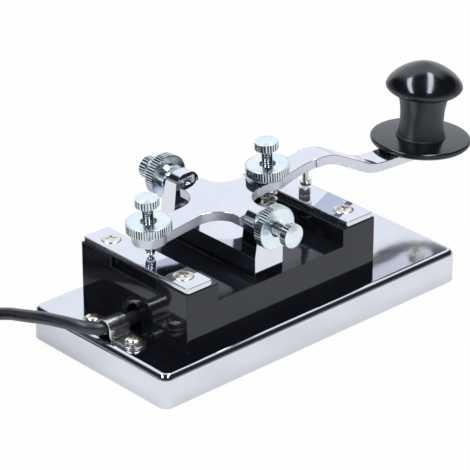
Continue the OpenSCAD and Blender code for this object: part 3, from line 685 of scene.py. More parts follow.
def arc(centre: Point2, radius: float, start: float, end: float, steps: int) -> list[Point2]:
    """Lay points on an arc.

    Args:
        centre: Middle of the arc.
        radius: Its radius.
        start: First angle, in degrees.
        end: Last angle, in degrees.
        steps: Number of equal steps between the two.

    Returns:
        The points, both ends included.
    """
    angles = [math.radians(start + (end - start) * i / steps) for i in range(steps + 1)]
    return [(centre[0] + radius * math.cos(a), centre[1] + radius * math.sin(a)) for a in angles]


def circle(radius: float, steps: int) -> list[Point2]:
    """Return a closed ring of points about the origin, the first one not repeated."""
    return arc((0.0, 0.0), radius, 0, 360 - 360 / steps, steps - 1)


def rounded_rectangle(length: float, width: float, radius: float, steps: int = 8) -> list[Point2]:
    """Lay the outline of a rectangle about the origin with rounded corners.

    Args:
        length: Size along the first axis.
        width: Size along the second axis.
        radius: Radius of the corners.
        steps: Number of short sides in each corner.

    Returns:
        The outline's points.
    """
    points = []
    for turn, (sx, sy) in enumerate(((1, 1), (-1, 1), (-1, -1), (1, -1))):
        corner = (sx * (length / 2 - radius), sy * (width / 2 - radius))
        points += arc(corner, radius, 90 * turn, 90 * turn + 90, steps)
    return points


def eased(profile: Sequence[Point2], radius: float, steps: int = 3) -> list[Point2]:
    """Round the inner corners of a line of points.

    Args:
        profile: The line.
        radius: How far from a corner its rounding starts, at most 0.45 of a side.
        steps: Number of short sides that replace a corner.

    Returns:
        The line with its ends kept.
    """
    line = [Vector(point) for point in profile]
    points = [tuple(line[0])]
    for before, corner, after in zip(line, line[1:], line[2:]):
        start = corner + (before - corner).normalized() * min(radius, 0.45 * (before - corner).length)
        end = corner + (after - corner).normalized() * min(radius, 0.45 * (after - corner).length)
        for i in range(steps + 1):
            t = i / steps
            points.append(tuple(start * (1 - t) ** 2 + corner * 2 * t * (1 - t) + end * t ** 2))
    points.append(tuple(line[-1]))
    return points


def make_piece(name: str, points: Sequence[Sequence[float]], faces: Sequence[Sequence[int]]) -> Object:
    """Make a closed mesh object.

    Args:
        name: Name of the piece.
        points: Its points, in millimetres.
        faces: Its faces, by the points' numbers.

    Returns:
        The object, smooth, with its faces pointing outwards.
    """
    mesh = bpy.data.meshes.new(name)
    mesh.from_pydata([Vector(point) * MM for point in points], [], faces)
    shell = bmesh.new()
    shell.from_mesh(mesh)
    bmesh.ops.recalc_face_normals(shell, faces=shell.faces)
    shell.to_mesh(mesh)
    shell.free()
    mesh.shade_smooth()
    piece = bpy.data.objects.new(name, mesh)
    bpy.context.scene.collection.objects.link(piece)
    return piece


def loft(name: str, rings: Sequence[Sequence[Point3]], looped: bool = False) -> Object:
    """Skin a piece over rings of equal length.

    Args:
        name: Name of the piece.
        rings: The rings, in order.
        looped: Whether the last ring joins the first; otherwise both ends are capped.

    Returns:
        The piece.
    """
    count = len(rings[0])
    points = [point for ring in rings for point in ring]
    spans = len(rings) if looped else len(rings) - 1
    faces: list[list[int]] = []
    for i in range(spans):
        low = i * count
        high = (i + 1) % len(rings) * count
        for j in range(count):
            k = (j + 1) % count
            faces.append([low + j, low + k, high + k, high + j])
    if not looped:
        faces.append(list(range(count)))
        faces.append(list(range(len(points) - count, len(points))))
    return make_piece(name, points, faces)


def prism(name: str, outline: Sequence[Point2], low: float, high: float) -> Object:
    """Make an upright prism from an outline in X and Y."""
    return loft(name, [[(x, y, z) for x, y in outline] for z in (low, high)])


def block(name: str, low: Point3, high: Point3) -> Object:
    """Make a box between two corners, for joining or cutting."""
    outline = [(low[0], low[1]), (high[0], low[1]), (high[0], high[1]), (low[0], high[1])]
    return prism(name, outline, low[2], high[2])


def revolve(name: str, profile: Sequence[Point2], segments: int = 72, looped: bool = False) -> Object:
    """Turn a profile about the local Z axis, and keep each point's radius for the lathe rings.

    Args:
        name: Name of the piece.
        profile: Points of radius and height; a radius of 0 makes a pole.
        segments: Number of steps round the axis.
        looped: Whether the last point joins the first, as on a piece with a bore.

    Returns:
        The piece.
    """
    points: list[Point3] = []
    rows: list[list[int]] = []
    for radius, height in profile:
        count = segments if radius > NONE_BELOW else 1
        rows.append(list(range(len(points), len(points) + count)))
        turns = [2 * math.pi * j / segments for j in range(count)]
        points += [(radius * math.cos(a), radius * math.sin(a), height) for a in turns]
    faces = []
    for low, high in zip(rows, rows[1:] + (rows[:1] if looped else [])):
        for j in range(segments if max(len(low), len(high)) > 1 else 0):
            k = (j + 1) % segments
            corners = [low[j % len(low)], low[k % len(low)], high[k % len(high)], high[j % len(high)]]
            faces.append(list(dict.fromkeys(corners)))
    piece = make_piece(name, points, faces)
    radii = [math.hypot(x, y) * MM for x, y, _ in points]
    piece.data.attributes.new(TURN_RADIUS, "FLOAT", "POINT").data.foreach_set("value", radii)
    return piece


def set_down(piece: Object, place: Matrix) -> Object:
    """Move a piece's mesh from its own axes to a place.

    Args:
        piece: The piece.
        place: The place, in millimetres.

    Returns:
        The piece.
    """
    moved = place.copy()
    moved.translation *= MM
    piece.data.transform(moved)
    return piece


def make_plain(piece: Object) -> Object:
    """Turn what a piece's modifiers make into its own plain mesh.

    Args:
        piece: The piece.

    Returns:
        The piece, without modifiers.
    """
    graph = bpy.context.evaluated_depsgraph_get()
    mesh = bpy.data.meshes.new_from_object(piece.evaluated_get(graph))
    piece.modifiers.clear()
    before = piece.data
    piece.data = mesh
    bpy.data.meshes.remove(before)
    mesh.name = piece.name
    return piece


def soften(piece: Object, width: float = 0.0) -> Object:
    """Round a piece's sharp edges and keep its flat faces flat.

    Args:
        piece: The piece.
        width: Width of the rounding; 0 leaves the edges as they are.

    Returns:
        The piece, with a plain mesh.
    """
    if width:
        bevel = piece.modifiers.new("Soft edges", "BEVEL")
        bevel.width = width * MM
        bevel.segments = 3
        bevel.limit_method = "ANGLE"
        bevel.angle_limit = math.radians(35)
    normals = piece.modifiers.new("Flat faces", "WEIGHTED_NORMAL")
    normals.weight = 100
    normals.keep_sharp = True
    return make_plain(piece)


def combine(piece: Object, other: Object, operation: str) -> None:
    """Join or cut a piece with another one, which is then removed.

    Args:
        piece: The piece that stays.
        other: The other piece.
        operation: UNION or DIFFERENCE.
    """
    modifier = piece.modifiers.new(operation.title(), "BOOLEAN")
    modifier.operation = operation
    modifier.object = other
    modifier.solver = "EXACT"
    make_plain(piece)
    bpy.data.objects.remove(other)


def crease(piece: Object, angle: float = 32.0) -> Object:
    """Shade a piece smooth, with some sharp edges.

    Args:
        piece: The piece.
        angle: How far two faces turn from each other where their edge is sharp, in degrees.

    Returns:
        The piece.
    """
    piece.data.shade_smooth()
    piece.data.set_sharp_from_angle(angle=math.radians(angle))
    return piece


def settle(piece: Object, finish: Finish, body: Body | str, *nodes: str) -> Object:
    """Give a finished piece its material and its body.

    Args:
        piece: The piece.
        finish: Its finish.
        body: The body that it rides on, or the body's name.
        nodes: The CAD nodes that it stands for.

    Returns:
        The piece.
    """
    carrier = body.value if isinstance(body, Body) else body
    piece.data.materials.clear()
    piece.data.materials.append(finish.material())
    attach(piece, carrier)
    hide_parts(*nodes)
    LOG.info("%s rides on %s for %s", piece.name, carrier, ", ".join(nodes))
    return piece


def dress_node(frame: dict, node: str, finish: Finish) -> None:
    """Give a CAD node that stays its finish.

    Args:
        frame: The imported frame.
        node: The node's name.
        finish: Its finish.
    """
    piece = frame["nodes"][node]
    if not piece.material_slots:
        piece.data.materials.append(None)
    for place in piece.material_slots:
        place.material = finish.material()
    LOG.info("%s stays, as %s", node, finish.name)


# Geometry Nodes


def geometry_tree(tree: Tree, sockets: dict[str, str]) -> tuple[NodeBench, bpy.types.NodeInputs]:
    """Give a geometry tree its sockets.

    Args:
        tree: The tree.
        sockets: Its inputs after the geometry, each with its kind.

    Returns:
        A bench for the tree's nodes, and the sockets of its inputs.
    """
    add_sockets(tree, "INPUT", {"Geometry": "Geometry", **sockets, "Material": "Material"})
    add_sockets(tree, "OUTPUT", {"Geometry": "Geometry"})
    bench = NodeBench(tree)
    return bench, bench.add("NodeGroupInput").outputs


def end_tree(bench: NodeBench, parts: Sequence[Socket], material: Socket) -> None:
    """End a geometry tree: join its parts, realize their instances and set the material.

    Args:
        bench: The tree's bench.
        parts: Sockets of the parts.
        material: Socket of the material.
    """
    joined = bench.add("GeometryNodeJoinGeometry")
    for part in parts:
        bench.tree.links.new(part, joined.inputs[0])
    real = bench.add("GeometryNodeRealizeInstances", {0: joined.outputs[0]})
    done = bench.add("GeometryNodeSetMaterial", {"Geometry": real.outputs[0], "Material": material})
    bench.add("NodeGroupOutput", {"Geometry": done.outputs[0]})


def end_raised(bench: NodeBench, given: bpy.types.NodeInputs, part: Socket, height: Socket) -> None:
    """End a geometry tree that adds one raised part to what it is given.

    Args:
        bench: The tree's bench.
        given: Sockets of the tree's inputs.
        part: Socket of the part.
        height: How far the part is raised.
    """
    raised = bench.add("GeometryNodeTransform", {"Geometry": part, "Translation": bench.upright(height)})
    end_tree(bench, [given["Geometry"], raised.outputs[0]], given["Material"])


def mark_groove(bench: NodeBench, mesh: Socket, height: Socket) -> Socket:
    """Store how deep each point lies between ridges, as the mask of the painted shade in the grooves.

    Args:
        bench: The tree's bench.
        mesh: The ridges.
        height: Each point's height, from 0 in the valley to 1 on the crest.

    Returns:
        The mesh with its groove attribute, from 0 on the crest and on level ends to 1 in the valley.
    """
    depth = bench.add("ShaderNodeMath", {0: 1.0, 1: height}, operation="SUBTRACT", use_clamp=True)
    normal = bench.add("GeometryNodeInputNormal").outputs["Normal"]
    facing = bench.add("GeometryNodeFieldOnDomain", {0: normal}, data_type="FLOAT_VECTOR", domain="FACE")
    level = bench.math("ABSOLUTE", bench.split(facing.outputs[0], "Z"))
    depth = bench.math("MULTIPLY", depth.outputs[0], bench.math("LESS_THAN", level, 0.9))
    stored = bench.add("GeometryNodeStoreNamedAttribute", {
        "Geometry": mesh, "Name": GROOVE, "Value": depth}, data_type="FLOAT", domain="CORNER")
    return stored.outputs["Geometry"]


def build_rim_ribs(tree: Tree) -> None:
    """Fill the tree of a straight knurl: ribs set round a rim.

    Args:
        tree: The tree.
    """
    bench, given = geometry_tree(tree, {
        "Ribs": "Int", "Radius": "Float", "Half width": "Float", "Length": "Float", "Middle": "Float"})
    half = given["Half width"]
    ring = bench.add("GeometryNodeMeshCircle", {
        "Vertices": given["Ribs"], "Radius": bench.math("SUBTRACT", given["Radius"], half)})
    rib = bench.add("GeometryNodeMeshCylinder", {"Vertices": 8, "Radius": half, "Depth": given["Length"]})
    across = bench.split(bench.add("GeometryNodeInputPosition").outputs[0], "X")
    marked = mark_groove(bench, rib.outputs["Mesh"], bench.math("DIVIDE", across, half))
    step = bench.math("DIVIDE", 2 * math.pi, given["Ribs"])
    turn = bench.math("MULTIPLY", bench.add("GeometryNodeInputIndex").outputs[0], step)
    ribs = bench.add("GeometryNodeInstanceOnPoints", {
        "Points": ring.outputs["Mesh"], "Instance": marked, "Rotation": bench.upright(turn)})
    end_raised(bench, given, ribs.outputs[0], given["Middle"])


def build_wound_wire(tree: Tree) -> None:
    """Fill the tree of a helix: a thread's ridge with 4 sides, or a round spring wire.

    Args:
        tree: The tree.
    """
    bench, given = geometry_tree(tree, {
        "Wire sides": "Int", "Wire radius": "Float", "Radius": "Float", "Turns": "Float",
        "Pitch": "Float", "Start": "Float"})
    helix = bench.add("GeometryNodeCurveSpiral", {
        "Resolution": 32, "Rotations": given["Turns"], "Start Radius": given["Radius"],
        "End Radius": given["Radius"], "Height": bench.math("MULTIPLY", given["Turns"], given["Pitch"])})
    raised = bench.add("GeometryNodeSetCurveNormal", {"Curve": helix.outputs[0]}, mode="Z_UP")
    section = bench.add("GeometryNodeCurvePrimitiveCircle", {
        "Resolution": given["Wire sides"], "Radius": given["Wire radius"]})
    wire = bench.add("GeometryNodeCurveToMesh", {
        "Curve": raised.outputs[0], "Profile Curve": section.outputs[0], "Fill Caps": True})
    place = bench.add("GeometryNodeInputPosition").outputs[0]
    flat = bench.add("ShaderNodeVectorMath", {0: place, 1: (1.0, 1.0, 0.0)}, operation="MULTIPLY")
    radius = bench.add("ShaderNodeVectorMath", {0: flat.outputs[0]}, operation="LENGTH").outputs["Value"]
    height = bench.math("DIVIDE", bench.math("SUBTRACT", radius, given["Radius"]), given["Wire radius"])
    end_raised(bench, given, mark_groove(bench, wire.outputs[0], height), given["Start"])


def build_screw_set(tree: Tree) -> None:
    """Fill the tree of a screw set: one head on each point, turned by a fixed draw.

    Args:
        tree: The tree.
    """
    bench, given = geometry_tree(tree, {"Head": "Object", "Seed": "Int"})
    head = bench.add("GeometryNodeObjectInfo", {"Object": given["Head"]})
    quarter = {"Max": math.pi / 2, "Seed": given["Seed"]}
    draw = bench.add("FunctionNodeRandomValue", quarter, data_type="FLOAT").outputs[1]
    heads = bench.add("GeometryNodeInstanceOnPoints", {
        "Points": given["Geometry"], "Instance": head.outputs["Geometry"], "Rotation": bench.upright(draw)})
    end_tree(bench, [heads.outputs[0]], given["Material"])


def run_tree(piece: Object, name: str, build: Callable[[Tree], None], values: dict[str, object]) -> Object:
    """Run a geometry tree on a piece and keep the result as its plain mesh.

    Args:
        piece: The piece.
        name: Name of the tree.
        build: Function that fills the tree.
        values: The tree's inputs, by name; sizes are in metres.

    Returns:
        The piece.
    """
    tree = shared_tree(name, "GeometryNodeTree", build)
    modifier = piece.modifiers.new(name, "NODES")
    modifier.node_group = tree
    for item in tree.interface.items_tree:
        if item.in_out == "INPUT" and item.name in values:
            modifier[item.identifier] = values[item.name]
    return make_plain(piece)


# Stage


@dataclass(frozen=True)
class Stage:
    """Camera at the photograph's angle, soft light, a white floor and a white surround.

    Metal shows a white sheet ahead of the camera, and a dark room with dim low walls elsewhere.
    The sheet and the walls are bounded by shares of a direction: ahead, across and up.
    """

    eye: Point3 = (-571.8, -616.4, 451.3)
    target: Point3 = (7.0, 14.59, 21.21)
    lens: float = 207.4
    sensor: float = 36.0
    view_depth: float = 20000.0
    floor_size: float = 8000.0
    floor_colour: Point3 = (0.86, 0.86, 0.87)
    floor_white: float = 0.97
    floor_gleam: float = 0.3
    level: float = 0.3
    boxes: tuple[tuple[str, float, float], ...] = (("Left box", -850.0, 14.0), ("Right box", 450.0, 0.0))
    box_power: float = 13.0
    box_height: float = 1500.0
    box_back: float = 250.0
    box_size: Point2 = (300.0, 1700.0)
    sheet_colour: Point3 = (0.93, 0.96, 1.0)
    sheet_foot: Point2 = (0.22, 0.40)
    sheet_side: Point2 = (0.42, 0.66)
    wall_colour: Point3 = (0.02, 0.021, 0.025)
    low_colour: Point3 = (0.26, 0.27, 0.29)
    low_top: Point2 = (0.2, 0.36)

    def build(self) -> None:
        """Make the camera, the light and the floor."""
        scene = bpy.context.scene
        scene.view_settings.view_transform = "Standard"
        scene.world = self.world()
        self.camera()
        for name, aside, turn in self.boxes:
            self.light_box(name, aside, turn)
        self.floor()
        LOG.info("camera, light and floor are set")

    def camera(self) -> None:
        """Add the camera and look through it."""
        data = bpy.data.cameras.new("Camera")
        data.lens = self.lens
        data.sensor_width = self.sensor
        data.clip_end = self.view_depth * MM
        camera = bpy.data.objects.new("Camera", data)
        camera.location = Vector(self.eye) * MM
        look = Vector(self.target) - Vector(self.eye)
        camera.rotation_euler = look.to_track_quat("-Z", "Y").to_euler()
        bpy.context.scene.collection.objects.link(camera)
        bpy.context.scene.camera = camera

    def ahead(self) -> Vector:
        """Return the level direction that the camera looks along."""
        return ((Vector(self.target) - Vector(self.eye)) * Vector((1.0, 1.0, 0.0))).normalized()

    def across(self) -> Vector:
        """Return the level direction to the camera's right."""
        ahead = self.ahead()
        return Vector((ahead.y, -ahead.x, 0.0))

    def light_box(self, name: str, aside: float, turn: float) -> None:
        """Hang a long soft box over the key.

        Args:
            name: Name of the box.
            aside: How far it hangs to the right of the line of sight.
            turn: How far it is turned from the line of sight, in degrees.
        """
        lamp = bpy.data.lights.new(name, "AREA")
        lamp.shape = "RECTANGLE"
        lamp.size = self.box_size[0] * MM
        lamp.size_y = self.box_size[1] * MM
        lamp.energy = self.box_power
        ahead = self.ahead()
        box = bpy.data.objects.new(name, lamp)
        box.location = (self.across() * aside - ahead * self.box_back) * MM
        box.location.z = self.box_height * MM
        box.rotation_euler = (0.0, 0.0, math.atan2(-ahead.x, ahead.y) - math.radians(turn))
        bpy.context.scene.collection.objects.link(box)

    def floor(self) -> None:
        """Add the floor: white to the camera, and a plain pale surface to the light."""
        half = self.floor_size / 2
        corners = [(-half, -half, 0), (half, -half, 0), (half, half, 0), (-half, half, 0)]
        floor = make_piece("Floor", corners, [[0, 1, 2, 3]])
        material, bench, shader = new_material("White floor")
        bench.feed(shader, {
            "Base Color": (*self.floor_colour, 1.0), "Roughness": 1.0, "Specular IOR Level": 0.0})
        path = bench.add("ShaderNodeLightPath").outputs
        seen = bench.math("ADD", bench.math("MULTIPLY", path["Is Camera Ray"], self.floor_white),
                          bench.math("MULTIPLY", path["Is Glossy Ray"], self.floor_gleam))
        glow = bench.add("ShaderNodeEmission", {"Color": (1.0, 1.0, 1.0, 1.0), "Strength": 1.0})
        mixed = bench.add("ShaderNodeMixShader", {0: seen, 1: shader.outputs[0], 2: glow.outputs[0]})
        bench.feed(material.node_tree.nodes["Material Output"], {"Surface": mixed.outputs[0]})
        floor.data.materials.append(material)

    def world(self) -> bpy.types.World:
        """Make the surround: white to the camera, and to metal a white sheet in a dark room.

        Returns:
            The world.
        """
        world = bpy.data.worlds.new("Surround")
        world.use_nodes = True
        bench = NodeBench(world.node_tree)
        away = bench.add("ShaderNodeTexCoord").outputs["Generated"]
        facing, aside = (
            bench.add("ShaderNodeVectorMath", {0: away, 1: way}, operation="DOT_PRODUCT").outputs["Value"]
            for way in (self.ahead(), self.across()))
        narrow = bench.ramp(bench.math("ABSOLUTE", aside), *self.sheet_side)
        sheet = bench.math("MULTIPLY", bench.ramp(facing, *self.sheet_foot), bench.invert(narrow))
        low = bench.invert(bench.ramp(bench.split(away, "Z"), *self.low_top))
        walls = bench.blend(low, self.wall_colour, self.low_colour)
        room = bench.blend(sheet, walls, self.sheet_colour)
        path = bench.add("ShaderNodeLightPath").outputs
        bright = bench.math("MAXIMUM", path["Is Camera Ray"], path["Is Transmission Ray"])
        shown = bench.blend(bright, room, (1.0, 1.0, 1.0))
        seen = bench.math("MAXIMUM", bright, path["Is Glossy Ray"])
        colour = bench.blend(seen, (self.level, self.level, self.level), shown)
        bench.feed(world.node_tree.nodes["Background"], {"Color": colour})
        return world


# Sub-assemblies


@dataclass(frozen=True)
class Base:
    """Plated base plate with rounded corners and a rounded top edge."""

    corner: float = 3.8
    edge: float = 2.6
    lift: float = 0.5
    foot: float = 0.4

    def build(self) -> None:
        """Make the plate as rings that step in round the foot and the top edge."""
        bend = arc((0.0, 0.0), self.edge, 0, 90, 10)
        steps = [(self.foot, self.lift), (0.0, self.lift + self.foot)]
        steps += [(self.edge - r, KEY.base_h - self.edge + z) for r, z in bend]
        rings = []
        for inset, z in steps:
            outline = rounded_rectangle(
                KEY.base_l - 2 * inset, KEY.base_w - 2 * inset, self.corner - inset, 12)
            rings.append([(x, y, z) for x, y in outline])
        plate = soften(loft("plated_base", rings))
        settle(plate, BASE_CHROME, Body.FRAME, "base_plate")


@dataclass(frozen=True)
class MouldedBody:
    """Black body with a channel across its middle, a step for the yoke and a way in for the cord."""

    rear_block: float = 14.2
    front_block: float = 15.1
    recess: Point3 = (2.5, 23.0, 3.8)
    trough: Point2 = (10.0, 9.5)
    trough_inset: float = 5.0
    trough_past: float = 6.0
    hole_r: float = 3.3
    hole_z: float = 17.6
    hole_depth: float = 7.0
    seat_r: float = 3.5
    seat_depth: float = 1.5
    edge: float = 0.3

    def build(self) -> None:
        """Make the body from its side outline, then add the step and cut the hollows."""
        x0, x1, top, floor = KEY.body_x0, KEY.body_x1, KEY.body_top, KEY.channel_z
        front, rear = x1 - self.front_block, x0 + self.rear_block
        side = [(x0, KEY.base_h), (x1, KEY.base_h), (x1, top), (front, top), (front, floor),
                (rear, floor), (rear, top), (x0, top)]
        half = KEY.body_w / 2
        body = loft("moulded_body", [[(x, y, z) for x, z in side] for y in (-half, half)])
        reach = KEY.yoke_l / 2
        step = block("step", (KEY.pivot_x - reach, -KEY.yoke_w / 2, floor - PAST),
                     (KEY.pivot_x + reach, KEY.yoke_w / 2, KEY.plinth_z))
        combine(body, step, "UNION")
        for hollow in (self.rear_recess(), self.wire_trough(), self.cord_way(), self.spring_seat()):
            combine(body, hollow, "DIFFERENCE")
        settle(soften(body, self.edge), BODY_BLACK, Body.FRAME, "body_block")

    def rear_recess(self) -> Object:
        """Make the recess under the rear plate.

        Returns:
            A cutter of the recess.
        """
        deep, wide, high = self.recess
        low = (KEY.body_x0 - PAST, -wide / 2, KEY.body_top - high)
        return block("recess", low, (KEY.body_x0 + deep, wide / 2, KEY.body_top + PAST))

    def wire_trough(self) -> Object:
        """Make the way for the wires under the body.

        Returns:
            A cutter of the trough.
        """
        wide, high = self.trough
        low = (KEY.body_x0 + self.trough_inset, -wide / 2, KEY.base_h - PAST)
        return block("trough", low, (KEY.contact_x + self.trough_past, wide / 2, KEY.base_h + high))

    def cord_way(self) -> Object:
        """Make the arched way in for the cord.

        Returns:
            A cutter of the way.
        """
        arch = arc((0.0, self.hole_z), self.hole_r, 0, 180, 20)
        outline = [(self.hole_r, KEY.base_h - PAST), *arch, (-self.hole_r, KEY.base_h - PAST)]
        ends = (KEY.body_x0 - PAST, KEY.body_x0 + self.hole_depth)
        return loft("cord_way", [[(x, y, z) for y, z in outline] for x in ends])

    def spring_seat(self) -> Object:
        """Make the spring's seat, where the tension screw's axis meets its floor.

        Returns:
            A cutter of the seat.
        """
        tilt = math.radians(KEY.lever_tilt)
        low = KEY.channel_z - self.seat_depth
        rise = KEY.pivot_z + KEY.tension_reach * math.sin(tilt) - low
        middle = KEY.pivot_x + KEY.tension_reach * math.cos(tilt) + rise * math.tan(tilt)
        outline = [(middle + x, y) for x, y in circle(self.seat_r, 40)]
        return prism("seat", outline, low, KEY.channel_z + PAST)


@dataclass(frozen=True)
class ScrewSet:
    """A set of equal screws with cross recesses, standing on points of a level face.

    The recess's arm and slot are shares of the head's width. It leaves the share pan_left
    of a pan head's height below it, and is raised_deep deep in a raised head.
    """

    name: str
    node: str
    points: tuple[Point3, ...]
    head_d: float
    head_h: float
    seed: int
    form: HeadForm = HeadForm.PAN
    place: Matrix | None = None
    body: Body = Body.FRAME
    sunk_r: float = 2.3
    sunk_l: float = 1.2
    pan_side: float = 0.42
    cross_arm: float = 0.30
    cross_slot: float = 0.075
    cross_taper: Point2 = (0.7, 1.05)
    cross_past: float = 0.2
    pan_left: float = 0.35
    raised_deep: float = 0.8

    def profile(self) -> list[Point2]:
        """Lay the head's profile, with its seat or its rim at height 0.

        Returns:
            The profile's points.
        """
        r, h = self.head_d / 2, self.head_h
        if self.form is HeadForm.RAISED:
            foot = [(0.0, -self.sunk_l), (self.sunk_r, -self.sunk_l)]
            rim = [(r, -0.08), (r, 0.02), (r - 0.12, 0.14)]
            dome = [(r * part, h * rise) for part, rise in ((0.8, 0.62), (0.55, 0.88), (0.3, 0.98))]
            return [*foot, *rim, *dome, (0.0, h)]
        angles = [math.radians(angle) for angle in range(0, 90, 9)]
        side = self.pan_side
        dome = [(r * math.cos(a), h * (side + (1 - side) * math.sin(a))) for a in angles]
        return [(0.0, 0.0), (r - 0.1, 0.0), (r, 0.12), *dome, (0.0, h)]

    def head(self) -> Object:
        """Make one head with its cross recess.

        Returns:
            The head, about the origin.
        """
        h = self.head_h
        head = revolve("head", self.profile(), segments=40)
        arm, slot = self.cross_arm * self.head_d, self.cross_slot * self.head_d
        deep = self.pan_left * h if self.form is HeadForm.PAN else h - self.raised_deep
        cross = [(arm, slot), (slot, slot), (slot, arm), (-slot, arm), (-slot, slot), (-arm, slot),
                 (-arm, -slot), (-slot, -slot), (-slot, -arm), (slot, -arm), (slot, -slot), (arm, -slot)]
        ends = zip(self.cross_taper, (deep, h + self.cross_past))
        rings = [[(x * f, y * f, z) for x, y in cross] for f, z in ends]
        combine(head, loft("recess", rings), "DIFFERENCE")
        return crease(head)

    def build(self) -> None:
        """Set a head on each point."""
        head = self.head()
        screws = make_piece(self.name, self.points, [])
        run_tree(screws, "Screw set", build_screw_set,
                 {"Head": head, "Seed": self.seed, "Material": SCREW_NICKEL.material()})
        bpy.data.objects.remove(head)
        if self.place:
            set_down(screws, self.place)
        settle(screws, SCREW_NICKEL, self.body, self.node)


@dataclass(frozen=True)
class TopPlate:
    """Plated bar on one of the body's end blocks, with a screw near each end."""

    name: str
    node: str
    middle: float
    length: float
    seed: int
    margin: float = 0.65
    corner: float = 0.8
    edge: float = 0.3
    pitch: float = 37.0
    head_d: float = 6.8
    head_rise: float = 0.5
    play: float = 0.1
    sink: float = 1.3

    def build(self) -> None:
        """Make the plate with its countersinks, and its two screws."""
        outline = rounded_rectangle(self.length, KEY.body_w - self.margin, self.corner, 4)
        outline = [(self.middle + x, y) for x, y in outline]
        plate = prism(self.name, outline, KEY.body_top, KEY.plate_top)
        points = tuple((self.middle, side.value * self.pitch / 2, KEY.plate_top) for side in Side)
        mouth = self.head_d / 2 + self.play
        cone = ((mouth - self.sink, -self.sink), (mouth + PAST, PAST))
        for px, py, pz in points:
            rings = [[(px + x, py + y, pz + z) for x, y in circle(r, 48)] for r, z in cone]
            combine(plate, loft("countersink", rings), "DIFFERENCE")
        settle(soften(plate, self.edge), PART_CHROME, Body.FRAME, self.node)
        ScrewSet(f"{self.name}_screws", f"{self.node}_screws", points, self.head_d, self.head_rise,
                 self.seed, HeadForm.RAISED).build()


@dataclass(frozen=True)
class Yoke:
    """Plated yoke: a cross bar with two uprights that narrow towards their round tops."""

    bar_h: float = 5.6
    top: float = 4.8
    corner: float = 4.0
    draft: float = 1.2
    slant: float = 0.335
    slant_drop: float = 3.2
    boss_r: float = 3.0
    bore_r: float = 2.0
    edge: float = 0.35
    slant_least: float = 0.05
    end_rise: float = 0.1

    def section(self, x: float, high: float) -> list[Point3]:
        """Lay the U-shaped cut across the yoke.

        Args:
            x: Place of the cut along the key, from the pivot.
            high: Height of the uprights there.

        Returns:
            The cut's points.
        """
        outer, inner = KEY.yoke_w / 2, KEY.yoke_gap / 2
        bend = min(KEY.pivot_h - self.slant_drop, high - self.slant_least)
        tip = outer - (high - bend) * self.slant
        half = [(outer, 0.0), (outer, bend), (tip, high), (inner, high), (inner, self.bar_h)]
        outline = half + [(-y, z) for y, z in reversed(half)]
        return [(KEY.pivot_x + x, y, KEY.plinth_z + z) for y, z in outline]

    def build(self) -> None:
        """Make the yoke as rings along the key, then add the bosses and bore them."""
        height = KEY.pivot_h + self.top
        reach = KEY.yoke_l / 2
        quarter = arc((reach - self.draft - self.corner, height - self.corner), self.corner, 90, 4, 10)
        stations = [*quarter, (reach, self.bar_h + self.end_rise)]
        stations = [(-x, z) for x, z in reversed(stations)] + stations
        yoke = loft("plated_yoke", [self.section(x, z) for x, z in stations])
        inner, outer = KEY.yoke_gap / 2, KEY.yoke_w / 2
        for side in Side:
            place = KEY.on_pivot(side)
            boss = prism("boss", circle(self.boss_r, 36), inner + PAST, outer)
            combine(yoke, set_down(boss, place), "UNION")
            bore = prism("bore", circle(self.bore_r, 36), inner - PAST, outer + PAST)
            combine(yoke, set_down(bore, place), "DIFFERENCE")
        settle(soften(yoke, self.edge), PART_CHROME, Body.FRAME, "yoke")


@dataclass(frozen=True)
class Run:
    """One stretch of a bent strip: its length along the middle line and its turn in degrees."""

    length: float
    turn: float = 0.0


@dataclass(frozen=True)
class BentBlank:
    """A flat blank of even thickness, bent across its width along a line of runs."""

    name: str
    outline: tuple[Point2, ...]
    thickness: float
    start: float
    runs: tuple[Run, ...]
    bend_step: float = 2.5

    def at(self, s: float) -> tuple[Vector, float]:
        """Follow the middle line.

        Args:
            s: Distance along the blank.

        Returns:
            The middle line's point and heading there.
        """
        point, heading, left = Vector((self.start, 0.0)), 0.0, s - self.start
        for place, run in enumerate(self.runs):
            last = place == len(self.runs) - 1
            part = left if last else min(left, run.length)
            turn = math.radians(run.turn) * part / run.length
            chord = part if abs(turn) < NONE_BELOW else 2 * part / turn * math.sin(turn / 2)
            point = point + chord * Vector((math.cos(heading + turn / 2), math.sin(heading + turn / 2)))
            heading += turn
            left -= part
            if left <= 0:
                break
        return point, heading

    def build(self) -> Object:
        """Cut the flat blank across at the bends, mark its cut edges and bend it.

        Returns:
            The bent piece.
        """
        half = self.thickness / 2
        blank = prism(self.name, self.outline, -half, half)
        shell = bmesh.new()
        shell.from_mesh(blank.data)
        s = self.start
        for run in self.runs:
            cuts = max(1, round(abs(run.turn) / self.bend_step)) if run.turn else 0
            for i in range(cuts + 1 if cuts else 0):
                whole = shell.verts[:] + shell.edges[:] + shell.faces[:]
                middle = ((s + run.length * i / cuts) * MM, 0, 0)
                bmesh.ops.bisect_plane(shell, geom=whole, dist=1e-7, plane_co=middle, plane_no=(1, 0, 0))
            s += run.length
        cut_edge = shell.faces.layers.float.new(CUT_EDGE)
        for face in shell.faces:
            face[cut_edge] = float(abs(face.normal.z) < 0.5)
        for vertex in shell.verts:
            point, heading = self.at(vertex.co.x / MM)
            above = vertex.co.z / MM
            vertex.co.x = (point.x - above * math.sin(heading)) * MM
            vertex.co.z = (point.y + above * math.cos(heading)) * MM
        shell.to_mesh(blank.data)
        shell.free()
        blank.data.shade_smooth()
        return blank


